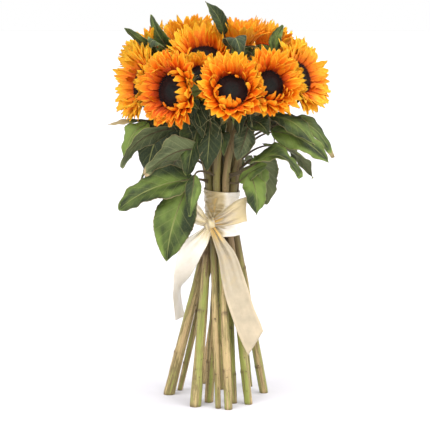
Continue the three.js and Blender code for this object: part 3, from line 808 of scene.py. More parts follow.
@dataclass(frozen=True)
class DiscFinish:
    """Dark florets: a black-green middle, a red-brown ring and a dark rim."""

    name: str
    stops: Stops
    tip: str

    def material(self) -> bpy.types.Material:
        """Makes the material.

        Returns:
            The material.
        """
        graph = Graph.skin(self.name, {"Specular IOR Level": 0.25})
        ring = graph.tint()
        along, _ = graph.chart()
        grain = graph.noise(graph.body_spot(), 900.0)
        base = graph.ramp(ring + (grain - 0.5) * 0.25, self.stops)
        tipped = graph.mix(along.ease(0.72, 1.0) * ring * 0.35, base, self.tip)
        return graph.shade(base_color=tipped, roughness=grain * 0.3 + 0.6)


@dataclass(frozen=True)
class LeafFinish:
    """A leaf's skin, with a pale midrib, side veins that run forward, and a net between them."""

    name: str
    dark: str
    light: str
    vein: str
    edge: str
    vein_share: float
    roughness: float
    relief: float

    def material(self) -> bpy.types.Material:
        """Makes the material.

        Returns:
            The material.
        """
        graph = Graph.skin(self.name, {"Specular IOR Level": 0.28})
        along, across = graph.chart()
        side = abs(across * 2 - 1)
        tint = graph.tint()
        midrib = side.ease(0.055, 0.012)
        course = along - side * VEIN_SWEEP + side * side * VEIN_CURVE
        nearest = abs((course * SIDE_VEINS).fraction() - 0.5)
        width = 0.035 + (1 - side) * 0.03
        veins = (nearest / width).ease(1.6, 0.3)
        place = graph.body_spot()
        cells = {"Vector": place, "Scale": 260.0}
        net = graph.node("ShaderNodeTexVoronoi", {"feature": "DISTANCE_TO_EDGE"}, cells, "Distance")
        lines = net.ease(0.09, 0.0)
        mottled = graph.noise(place, 38.0, 4.0)
        zones = graph.noise(graph.spot(along * 1.3, across * 1.9, tint * 37), 1.0, 2.0)
        # The tint carries each leaf's tone, which is partly painted shade.
        tone = mottled * 0.56 + tint * 0.75 + (zones - 0.5) * 1.45 - 0.03
        skin = graph.mix(tone.ease(0.3, 0.95), self.dark, self.light)
        netted = graph.mix(lines * 0.28 * self.vein_share, skin, self.vein)
        ruled = (midrib * 0.6).at_least(veins * self.vein_share * 0.6)
        veined = graph.mix(ruled, netted, self.vein)
        dried = (side.ease(0.94, 0.985) * 0.6).at_least(tint.ease(1.05, 1.6))
        edged = graph.mix(dried, veined, self.edge)
        sunk = 1 - lines * 0.3 - midrib.at_least(veins * 0.6) * 0.6 + graph.noise(place, 120.0) * 0.9
        relief = graph.bump(sunk + graph.noise(place, 700.0) * 0.25, self.relief, 0.8)
        rough = mottled * 0.25 + (self.roughness - 0.1)
        return graph.shade(base_color=edged, roughness=rough, normal=relief)


@dataclass(frozen=True)
class StemFinish:
    """Ribbed stem skin in streaks of green and straw, scarred, with painted shade darkening it from below
    the tie upward and a painted shadow just under the tie.
    """

    name: str
    green: str
    straw: str
    dark: str
    scar_and_shadow: str

    def material(self) -> bpy.types.Material:
        """Makes the material.

        Returns:
            The material.
        """
        graph = Graph.skin(self.name)
        along, across = graph.chart()
        mark = graph.tint()
        where = graph.body_spot()
        height = graph.axis(where, "Z")
        flank = graph.noise(graph.spot(across * 1.5, along * 0.5, 0.0), 1.0, 2.0)
        streak = graph.noise(graph.spot(across * 13, along * 1.1, 3.0), 1.0, 4.0)
        patches = graph.noise(graph.spot(across * 4, along * 6, 7.0), 1.0)
        green_share = (flank * 1.3 + streak * 0.45 + patches * 0.25).ease(0.8, 1.2)
        sides = graph.mix(green_share, self.straw, self.green)
        skin = graph.mix((1 - abs(green_share * 2 - 1)).ease(0.45, 1.0) * 0.55, sides, self.scar_and_shadow)
        fine = graph.noise(graph.spot(across * 40, along * 3, 11.0), 1.0, 4.0)
        cracks = graph.noise(graph.spot(across * 22, along * 1.4, 5.0), 1.0)
        ruled = graph.mix(cracks.ease(0.6, 0.68) * 0.6, skin, self.scar_and_shadow)
        lined = graph.mix(fine.ease(0.48, 0.64) * 0.65, ruled, self.dark)
        # Painted shade: the skin darkens from below the tie upward, where the ribbon, leaves and heads shade
        # it.
        upper = (height.ease(0.30, 0.36) * 0.5).at_least(height.ease(0.17, 0.262) * 0.55)
        shaded = graph.mix(upper, lined, self.dark)
        # Painted shadow: a dark brown band just under the tie's lower edge.
        tie_shadow_mask = height.ease(0.2, 0.262) * height.ease(0.27, 0.264) * 0.5
        tie_shadowed_skin = graph.mix(tie_shadow_mask, shaded, self.scar_and_shadow)
        speck = graph.noise(where, 210.0, 2.0).ease(0.64, 0.72)
        scarred = graph.mix((mark * (0.55 + patches * 0.6)).at_least(speck * 0.5), tie_shadowed_skin, self.scar_and_shadow)
        relief = graph.bump((across * 75).sine() * 0.35 + fine, 0.6, 0.8)
        return graph.shade(base_color=scarred, roughness=0.6 - green_share * 0.14, normal=relief)


@dataclass(frozen=True)
class PithFinish:
    """A cut end: pale pith inside a ring of straw-coloured wood."""

    name: str
    pith: str
    wood: str

    def material(self) -> bpy.types.Material:
        """Makes the material.

        Returns:
            The material.
        """
        graph = Graph.skin(self.name)
        ring = graph.tint()
        grain = graph.noise(graph.body_spot(), 1400.0)
        base = graph.mix((ring + (grain - 0.5) * 0.3).ease(0.6, 0.9), self.pith, self.wood)
        return graph.shade(base_color=base, roughness=grain * 0.2 + 0.7, normal=graph.bump(grain, 0.3))


@dataclass(frozen=True)
class HairFinish:
    """Pale hairs and dry threads, darker at their roots."""

    name: str
    root: str
    tip: str

    def material(self) -> bpy.types.Material:
        """Makes the material.

        Returns:
            The material.
        """
        graph = Graph.skin(self.name, {"Specular IOR Level": 0.3})
        along, _ = graph.chart()
        base = graph.mix(along.ease(0.0, 0.7), self.root, self.tip)
        return graph.shade(base_color=base, roughness=along * 0.1 + 0.6)


@dataclass(frozen=True)
class SatinFinish:
    """Cream satin with gold painted shade in its folds, read from each piece's tint, with a fine weave and a
    woven edge.
    """

    name: str
    stops: Stops
    edge: str
    crumpled: float

    def material(self) -> bpy.types.Material:
        """Makes the material.

        Returns:
            The material.
        """
        graph = Graph.skin(self.name, {"Sheen Weight": 0.3, "Sheen Roughness": 0.3, "Anisotropic": 0.6})
        along, across = graph.chart()
        side = abs(across * 2 - 1)
        cloud = graph.noise(graph.body_spot(), 60.0)
        # Painted shade: the tint moves the cream towards grey-beige and gold in folds and round the knot.
        base = graph.ramp(graph.tint() + (cloud - 0.5) * 0.2, self.stops)
        edged = graph.mix(side.ease(0.95, 0.985) * 0.4, base, self.edge)
        weave = (across * 420).sine() * 0.5 + (along * 900).sine() * 0.3
        ways = graph.spot(along * 3.4 + across * 1.3, across * 7, 2.0)
        wrinkles = abs(graph.noise(ways, 1.0, 1.5, 0.45) - 0.5)
        creased = graph.bump(wrinkles, self.crumpled)
        normal = graph.bump(weave, 0.03, 0.5, creased)
        return graph.shade(base_color=edged, roughness=cloud * 0.12 + 0.26, normal=normal)


# Leaf veins, shared by the leaves' shape and finish
SIDE_VEINS = 7.0
VEIN_SWEEP = 0.3
VEIN_CURVE = 0.06


class Finishes:
    """Every finish of the bunch, as the lists of materials that its pieces take."""

    def __init__(self) -> None:
        """Makes the materials."""
        front = ((0.0, "#7a2606"), (0.13, "#b23e07"), (0.32, "#ea6007"), (0.56, "#fc870a"), (1.0, "#ffc026"))
        back = ((0.0, "#f08010"), (0.2, "#ff8e12"), (0.6, "#ffa41c"), (1.0, "#ffc830"))
        self.petal = [
            PetalFinish("petal_front", front, "#ee5002", "#ffcc2e").material(),
            PetalFinish("petal_back", back, "#f87c06", "#ffcc36", 0.6).material(),
        ]
        rings = ((0.0, "#1b1d18"), (0.25, "#141310"), (0.5, "#24120f"), (0.72, "#341a15"), (0.9, "#1a0f12"))
        self.floret = [DiscFinish("florets", rings, "#4a2216").material()]
        top = LeafFinish("leaf_top", "#212e12", "#6e8338", "#9a9c5c", "#a69468", 0.26, 0.5, 0.8)
        under = LeafFinish("leaf_under", "#363f28", "#666f48", "#96986c", "#a8946e", 0.6, 0.62, 0.6)
        self.leaf = [top.material(), under.material()]
        self.cane = [
            StemFinish("stem_skin", "#8b9440", "#c4a878", "#765e38", "#4a2e1a").material(),
            PithFinish("cut_end", "#e6dcc0", "#a8925c").material(),
        ]
        self.stalk = [StemFinish("stalk_skin", "#66703a", "#7c6a44", "#4c3a2a", "#3a2a1e").material()]
        self.hair = [HairFinish("hairs", "#7c7a48", "#c9c49a").material()]
        self.thread = [HairFinish("threads", "#5c5a38", "#938c62").material()]
        # The satin ramps run from cream to grey-beige and gold: their darker stops are painted shade.
        hung = ((0.0, "#faf2e2"), (0.28, "#d9caa2"), (0.48, "#c9b687"), (0.58, "#beae92"), (0.66, "#aa9d84"))
        tied = ((0.0, "#faf2e2"), (0.28, "#d9c9a2"), (0.5, "#bfab7e"), (0.68, "#ad986a"))
        painted_fold_gold = ((0.82, "#caaa66"), (1.0, "#c2984c"))
        self.satin = [SatinFinish("cream_satin", hung + painted_fold_gold, "#cdbe9f", 0.6).material()]
        self.crumpled_satin = [SatinFinish("crumpled_satin", tied + painted_fold_gold, "#cdbe9f", 3.4).material()]


# Heads
@dataclass
class Head:
    """A bloom's own directions in the design frame, and how much room it takes.

    Its middle stands that depth before its place, and its room counts a share of its rays' length.
    """

    bloom: Bloom
    number: int
    depth: float = 14.0
    ray_share: float = 0.6
    upright: float = 0.95

    def __post_init__(self) -> None:
        """Works out the directions."""
        self.axis = unit(vector(self.bloom.facing))
        side = RIGHT if abs(self.axis[2]) > self.upright else np.cross(UP, self.axis)
        self.east = unit(side - self.axis * side.dot(self.axis))
        self.north = np.cross(self.axis, self.east)
        self.place = vector(self.bloom.place)
        self.middle = self.place + self.depth * self.axis
        self.reach = self.bloom.disc + self.ray_share * self.bloom.ray

    def outward(self, roll: float) -> np.ndarray:
        """Gives the way out from the axis at an angle round it."""
        return self.east * math.cos(roll) + self.north * math.sin(roll)

    def turned(self, radii: np.ndarray, heights: np.ndarray, sides: int) -> np.ndarray:
        """Turns a profile round the axis.

        Args:
            radii: The profile's distances from the axis.
            heights: Its heights along the axis.
            sides: The number of places round it.

        Returns:
            Rows by sides by three coordinates.
        """
        round_it = circle(round_turns(sides), self.east, self.north)
        rows = radii[:, None, None] * round_it + heights[:, None, None] * self.axis
        return self.place + rows


HEADS = tuple(Head(bloom, k + 1) for k, bloom in enumerate(BLOOMS))
CELL_GAP = 3.0
SHORTENING_COST = 170

# How petals give way, from the least to the most: a share of their length, and how far they close
CLOSINGS = sorted(
    ((share / 10, closing) for share in range(10, 3, -1) for closing in range(0, 151, 10)),
    key=lambda way: way[1] + SHORTENING_COST * (1 - way[0]),
)


def in_room(head: Head, places: np.ndarray) -> bool:
    """Tells whether places lie inside a head's own room among its neighbours.

    Args:
        head: The head.
        places: The places.

    Returns:
        Whether all of them lie inside it.
    """
    for other in HEADS:
        if other is head:
            continue
        away = other.middle - head.middle
        apart = float(np.linalg.norm(away))
        room = apart * head.reach / (head.reach + other.reach) - CELL_GAP / 2 - head.bloom.shy
        if ((places - head.middle) @ (away / apart)).max() > room:
            return False
    return True


@dataclass
class Blade:
    """A petal or bract.

    It leaves its head at a roll round the axis, from a root that far out and that high up. It leans
    from the axis and curls on, both in degrees, and its other fields are the strengths of its form.
    """

    roll: float
    root: float
    height: float
    length: float
    width: float
    lean: float
    curl: float
    outline: Callable[[np.ndarray], np.ndarray]
    bend: float = 0.0
    twist: float = 0.0
    cup: float = 0.0
    ruffle: float = 0.0
    phase: float = 0.0
    teeth: float = 0.0
    pointed: float = 0.0
    substeps: int = 4

    def places(self, head: Head, rows: int, columns: int) -> np.ndarray:
        """Works out the blade's surface.

        Args:
            head: The head that bears it.
            rows: The number of rows along it.
            columns: The number of columns across it.

        Returns:
            Rows by columns by three coordinates.
        """
        shares = np.linspace(0, 1, rows)
        fine = np.linspace(0, 1, self.substeps * (rows - 1) + 1)
        angles = np.radians(self.lean + self.curl * (fine[:-1] + fine[1:]) / 2)
        out = head.outward(self.roll)
        steps = self.length / (len(fine) - 1) * circle(angles, head.axis, out)
        run = np.vstack([np.zeros(3), np.cumsum(steps, axis=0)])[:: self.substeps]
        start = head.place + self.root * out + self.height * head.axis
        sideways = np.cross(head.axis, out)
        tangents = circle(np.radians(self.lean + self.curl * shares), head.axis, out)
        across = circle(np.radians(self.twist) * shares**1.5, sideways, np.cross(tangents, sideways))
        faces = np.cross(tangents, across)
        spine = start + run + (self.bend * self.length * shares**2)[:, None] * sideways
        narrowed = 1 - self.pointed * ease(shares, 0.7, 1.05) ** 1.2
        half = (self.width / 2 * self.outline(shares) * narrowed)[:, None]
        v = np.linspace(1, -1, columns)[None, :]
        s = shares[:, None]
        furrows = 0.055 * self.width * np.cos(2.5 * np.pi * v) * ease(s, 0.0, 0.3) * (1 - ease(s, 0.7, 1.0))
        waves = self.ruffle * self.width * v * np.sin(self.phase + 5.5 * s + 1.5 * v) * s
        crimps = 0.7 * self.ruffle * half * v**2 * np.sin(3 * self.phase + 19 * s + 1.7 * np.sign(v))
        lift = self.cup * half * v**2 - furrows + waves + crimps
        tips = self.length * self.teeth * ease(s, 0.74, 1.0) * (1.5 * (1 - v**2) + np.cos(3 * np.pi * v))
        return moved(spine, (across, half * v), (faces, lift), (tangents, tips))

    def in_room(self, head: Head) -> bool:
        """Tells whether the blade stays in its head's room."""
        return in_room(head, self.places(head, 4, 3).reshape(-1, 3))


def petal_outline(shares: np.ndarray) -> np.ndarray:
    """Gives a petal's half-width along it: a narrow claw and a full middle."""
    return 0.5 + 0.5 * ease(shares, 0.0, 0.38)


def bract_outline(shares: np.ndarray) -> np.ndarray:
    """Gives a bract's half-width: broad at its foot, with a long drawn-out point."""
    return 0.03 + 0.97 * (1 - ease(shares, 0.2, 1.0)) ** 1.1 * (0.75 + 0.25 * ease(shares, 0, 0.25))


@dataclass(frozen=True)
class PetalLayer:
    """One ring of petals.

    Attributes:
        count: The number of its petals.
        root: How far outside the disc they stand.
        height: How far above the disc's foot they stand.
        length: Their length, as a share of the bloom's ray.
        closer: How many degrees they lean in.
        width: Their width on a head of the common size.
        curled: The share of them that curl in.
    """

    count: int
    root: float
    height: float
    length: float
    closer: float
    width: float
    curled: float


@dataclass
class SunflowerHead:
    """A head's petals, florets and green back."""

    head: Head
    finishes: Finishes
    layers: tuple[PetalLayer, ...] = (
        PetalLayer(22, 1.9, 0.3, 0.98, -9, 13.2, 0.04),
        PetalLayer(23, 1.5, 1.0, 0.98, 0, 12.6, 0.06),
        PetalLayer(23, 1.0, 1.7, 0.94, 9, 11.8, 0.1),
        PetalLayer(20, 0.3, 2.4, 0.8, 18, 10.2, 0.2),
        PetalLayer(14, -0.6, 3.1, 0.52, 28, 8.0, 0.4),
    )
    petal_rows: int = 10
    petal_columns: int = 7
    petal_thickness: float = 0.4
    parted_loss: float = 0.012
    drawn_loss: float = 0.5
    drawn_lean: float = 30.0
    least_lean: float = 3.0
    least_curl: float = -80.0
    common_disc: float = 25.0
    disc_inset: float = 0.6
    disc_sides: int = 36
    florets: int = 430
    floret_sides: int = 5
    rim_width: float = 2.5
    back_sides: int = 32
    bracts: int = 13
    bract_thickness: float = 0.5
    seed: int = 500

    def __post_init__(self) -> None:
        """Seeds the head's own draws and works out its sizes."""
        self.draw = np.random.default_rng(self.seed + self.head.number)
        self.tag = f"bloom_{self.head.number:02d}"
        self.radius = self.head.bloom.disc - self.disc_inset
        self.rim = self.head.bloom.disc + self.rim_width

    def make(self) -> None:
        """Makes the whole head."""
        self.make_petals()
        self.make_disc()
        self.make_back()

    def petal(self, layer: PetalLayer, k: int) -> Blade:
        """Shapes one petal, and closes or shortens it until it has room.

        Args:
            layer: The ring that it stands in.
            k: Its number in the ring.

        Returns:
            The petal.
        """
        draw, bloom = self.draw, self.head.bloom
        roll = 2 * math.pi * (k + layer.closer * 0.13 + draw.uniform(-0.22, 0.22)) / layer.count
        out = self.head.outward(roll)
        limp = float(out @ vector(bloom.limp))
        curled = draw.random() < layer.curled * (0.3 + 3.2 * max(limp, 0)) + 0.25 * max(limp - 0.4, 0)
        size = math.sqrt(bloom.disc / self.common_disc)
        petal = Blade(
            roll=roll,
            root=bloom.disc + layer.root,
            height=layer.height,
            length=bloom.ray * layer.length * draw.uniform(0.9, 1.07),
            width=layer.width * size * draw.uniform(0.86, 1.12),
            lean=bloom.lean - layer.closer + draw.normal(0, 5),
            curl=draw.normal(14, 13) - (85 if curled else 0),
            outline=petal_outline,
            bend=draw.normal(0, 0.07),
            twist=draw.normal(0, 24 if curled else 13),
            cup=draw.uniform(0.1, 0.5),
            ruffle=draw.uniform(0.03, 0.13),
            phase=draw.uniform(0, 2 * math.pi),
            teeth=draw.uniform(0.02, 0.05),
            pointed=draw.uniform(0.6, 0.9),
        )
        front, low = max(0.0, -float(out[1])), max(0.0, -float(out[2])) ** 0.7
        petal.lean += bloom.parted * front
        petal.length *= 1 - self.parted_loss * bloom.parted * front
        petal.length *= 1 - self.drawn_loss * bloom.drawn * low
        petal.lean -= self.drawn_lean * bloom.drawn * low
        lean, curl, length = petal.lean, petal.curl, petal.length
        for share, closing in CLOSINGS:
            petal.length = share * length
            petal.lean = max(lean - 0.6 * closing, self.least_lean)
            petal.curl = max(curl - 0.7 * closing, self.least_curl)
            if petal.in_room(self.head):
                break
        return petal

    def make_petals(self) -> None:
        """Makes the rings of petals on their collar."""
        draft = Draft()
        bloom = self.head.bloom
        radii = np.array([0, bloom.disc + 1, bloom.disc + 3, bloom.disc + 2.4, 0])
        heights = np.array([2.6, 2.8, 1.6, 0.1, 0.0])
        draft.sheet(self.head.turned(radii, heights, 40)[::-1], tint=0.1, joined=True)
        for layer in self.layers:
            for k in range(layer.count):
                petal = self.petal(layer, k)
                chart = even_chart(self.petal_rows, self.petal_columns)
                chart[..., 0] *= petal.length / bloom.ray
                tone = bloom.ripe + self.draw.uniform(-0.4, 0.4)
                places = petal.places(self.head, self.petal_rows, self.petal_columns)
                draft.sheet(places, chart, tint=min(max(tone, 0), 1))
        solids = [f"{self.tag}_rays"]
        draft.piece(f"{self.tag}_petals", self.finishes.petal, solids, self.petal_thickness)

    def make_disc(self) -> None:
        """Makes the domed disc and its florets in their spirals."""
        draft = Draft()
        shares = np.linspace(0, 1, 12)
        radii = np.append(shares * self.radius, [self.radius, 0.0])
        heights = np.append(self.dome(shares), [3.3, 3.2])
        tints = np.append(shares, [1, 1])[:, None] * 0.8
        draft.sheet(self.head.turned(radii, heights, self.disc_sides), tint=tints, joined=True)
        count = int(self.florets * (self.radius / self.common_disc) ** 1.4)
        size = self.radius * math.sqrt(math.pi / count) * 0.5
        for k in range(count):
            self.add_floret(draft, math.sqrt((k + 0.5) / count), GOLDEN_ANGLE * k, size)
        draft.piece(f"{self.tag}_florets", self.finishes.floret, [f"{self.tag}_disc"])

    def dome(self, shares: np.ndarray) -> np.ndarray:
        """Gives the disc's height at shares of its radius: a low dome with a shallow dimple."""
        return 4.6 + 4.6 * (1 - shares**2.4) - 1.8 * (1 - ease(shares, 0.0, 0.45))

    def add_floret(self, draft: Draft, share: float, roll: float, size: float) -> None:
        """Adds one floret: a bud at the middle, an open tube further out.

        Args:
            draft: The piece that it joins.
            share: Its distance from the axis, as a share of the disc's radius.
            roll: Its angle round the axis.
            size: Its radius at the foot.
        """
        out = self.head.outward(roll)
        top = float(self.dome(np.array([share]))[0])
        foot = self.head.place + out * share * self.radius + self.head.axis * (top - 0.8)
        tall = 1.5 + 2.0 * float(ease(np.array(share), 0.35, 0.8)) + self.draw.uniform(-0.3, 0.5)
        lean = 0.25 * share + 0.5 * float(ease(np.array(share), 0.82, 1.0))
        way = unit(self.head.axis + out * lean + self.draw.normal(0, 0.06, 3))
        side = unit(np.cross(way, self.head.east + 0.3 * self.head.north))
        ring = circle(round_turns(self.floret_sides) + roll, side, np.cross(way, side))
        profile = ((0.0, 1.0), (0.6, 0.72), (1.0, 0.16))
        rows = [foot + way * tall * height + ring * size * wide for height, wide in profile]
        tint = min(max(share + self.draw.normal(0, 0.05), 0), 1)
        draft.sheet(np.array(rows), tint=tint, joined=True)

    def make_back(self) -> None:
        """Makes the green bowl and its two rings of bracts."""
        draft = Draft()
        neck = NECK_RADIUS + 0.6
        shares = np.linspace(0, 1, 9)
        radii = neck + (self.rim - neck) * np.sin(shares * math.pi / 2) ** 1.15
        heights = -RECEPTACLE_DEPTH + (RECEPTACLE_DEPTH - 1.2) * shares**1.6
        radii = np.concatenate([[0.01], radii, [self.rim - 0.8, 0.01]])
        heights = np.concatenate([[-RECEPTACLE_DEPTH], heights, [-0.3, -0.3]])
        draft.sheet(self.head.turned(radii, heights, self.back_sides), tint=0.4, joined=True)
        for ring in (0, 1):
            for k in range(self.bracts):
                draft.sheet(self.bract(ring, k).places(self.head, 9, 5), tint=float(self.draw.random()))
        solids = [f"stem_{self.head.number:02d}"]
        draft.piece(f"{self.tag}_back", self.finishes.leaf, solids, self.bract_thickness)

    def bract(self, ring: int, k: int) -> Blade:
        """Shapes one bract, folded back until it has room.

        Args:
            ring: 0 for the ring nearest the petals and 1 for the one behind it.
            k: Its number in the ring.

        Returns:
            The bract.
        """
        draw = self.draw
        bract = Blade(
            roll=2 * math.pi * (k + 0.5 * ring + draw.uniform(-0.15, 0.15)) / self.bracts,
            root=self.rim - 3.5 - 5 * ring,
            height=-2.2 - 4 * ring,
            length=(27 if ring == 0 else 24) * draw.uniform(0.85, 1.12),
            width=12.5 * math.sqrt(self.rim / 27),
            lean=78 + 12 * ring + draw.normal(0, 5),
            curl=draw.normal(22, 18),
            outline=bract_outline,
            bend=draw.normal(0, 0.08),
            twist=draw.normal(0, 14),
            cup=0.3,
            ruffle=0.06,
            phase=draw.uniform(0, 6),
        )
        lean = bract.lean
        for closing in range(0, 71, 7):
            bract.lean = lean + closing
            if bract.in_room(self.head):
                break
        return bract


# Stems and leaves
def upper_radius(share: float | np.ndarray) -> float | np.ndarray:
    """Gives a stem's radius at a share of the way from the tie to its head."""
    return WAIST_RADIUS + (NECK_RADIUS - WAIST_RADIUS) * share


@dataclass
class StemPath:
    """The course of a stem from its cut end through the tie to its head."""

    stem: Stem
    head: Head

    def __post_init__(self) -> None:
        """Works out where the stem passes the tie and how it rises to its head."""
        turn = math.radians(self.stem.angle)
        self.waist = self.stem.ring * level_way(turn) + WAIST_HEIGHT * UP
        steep = SPIRAL_SLOPE * self.stem.ring / OUTER_RING
        self.slope = steep * np.array([math.sin(turn), -math.cos(turn), 0.0])
        neck = self.head.place - RECEPTACLE_DEPTH * self.head.axis
        self.curve = (
            self.waist,
            self.waist + self.stem.rise * (self.slope + UP),
            neck - self.stem.neck * self.head.axis,
            neck + 4 * self.head.axis,
        )

    def below(self, heights: np.ndarray) -> np.ndarray:
        """Gives the stem's course under the tie.

        Args:
            heights: Heights from its cut end up.

        Returns:
            Its middles there.
        """
        spare = np.array([*self.stem.foot, 0.0]) - self.waist + self.slope * WAIST_HEIGHT
        spare[2] = 0
        share = (WAIST_HEIGHT - heights) / WAIST_HEIGHT
        soft = np.hypot(BEND_SOFTNESS, share) - BEND_SOFTNESS
        soft = soft / (math.hypot(BEND_SOFTNESS, 1) - BEND_SOFTNESS)
        places = self.waist + self.slope * (heights - WAIST_HEIGHT)[:, None] + spare * soft[:, None]
        places[:, 2] = heights
        return places

    def run(self, below: int, above: int) -> tuple[np.ndarray, np.ndarray]:
        """Gives the whole course.

        Args:
            below: The number of steps under the tie.
            above: The number of steps from the tie to the head.

        Returns:
            The middles and the radii along it.
        """
        heights = np.linspace(0, WAIST_HEIGHT, below, endpoint=False)
        shares = np.linspace(0, 1, above)
        middles = np.vstack([self.below(heights), bezier(self.curve, shares)[0]])
        low = self.stem.end + (WAIST_RADIUS - self.stem.end) * heights / WAIST_HEIGHT
        return middles, np.concatenate([low, upper_radius(shares)])

    def at_height(self, height: float) -> tuple[np.ndarray, float]:
        """Finds where the stem first comes to a height.

        Args:
            height: The height.

        Returns:
            Its middle and its radius there.
        """
        middles, radii = self.run(60, 80)
        k = int(np.argmax(middles[:, 2] >= height))
        return middles[k], float(radii[k])


def tube_rings(middles: np.ndarray, radii: np.ndarray, sides: int, level: bool = False) -> np.ndarray:
    """Lays rings round a course without twisting them.

    Args:
        middles: The places along the course.
        radii: The radii there, one for each ring or for each place on it.
        sides: The number of places round a ring.
        level: Whether the first ring lies level.

    Returns:
        Rings by sides by three coordinates.
    """
    headings = unit(np.gradient(middles, axis=0))
    if level:
        headings[0] = UP
    side = RIGHT
    rings = []
    for k, heading in enumerate(headings):
        side = unit(side - heading * side.dot(heading))
        ring = circle(round_turns(sides), side, np.cross(heading, side))
        rings.append(middles[k] + ring * np.reshape(radii[k], (-1, 1)))
    return np.array(rings)


def add_hair(draft: Draft, foot: np.ndarray, way: np.ndarray, radius: float) -> None:
    """Adds one hair, a thin spike.

    Args:
        draft: The piece that it joins.
        foot: Where it stands.
        way: Its direction and length.
        radius: Its radius at the foot.
    """
    side = unit(np.cross(way, (0.31, 0.17, 0.93)))
    ring = radius * circle(round_turns(3), side, unit(np.cross(way, side)))
    draft.sheet(np.array([foot + ring, foot + way + ring * 0.15]), joined=True)


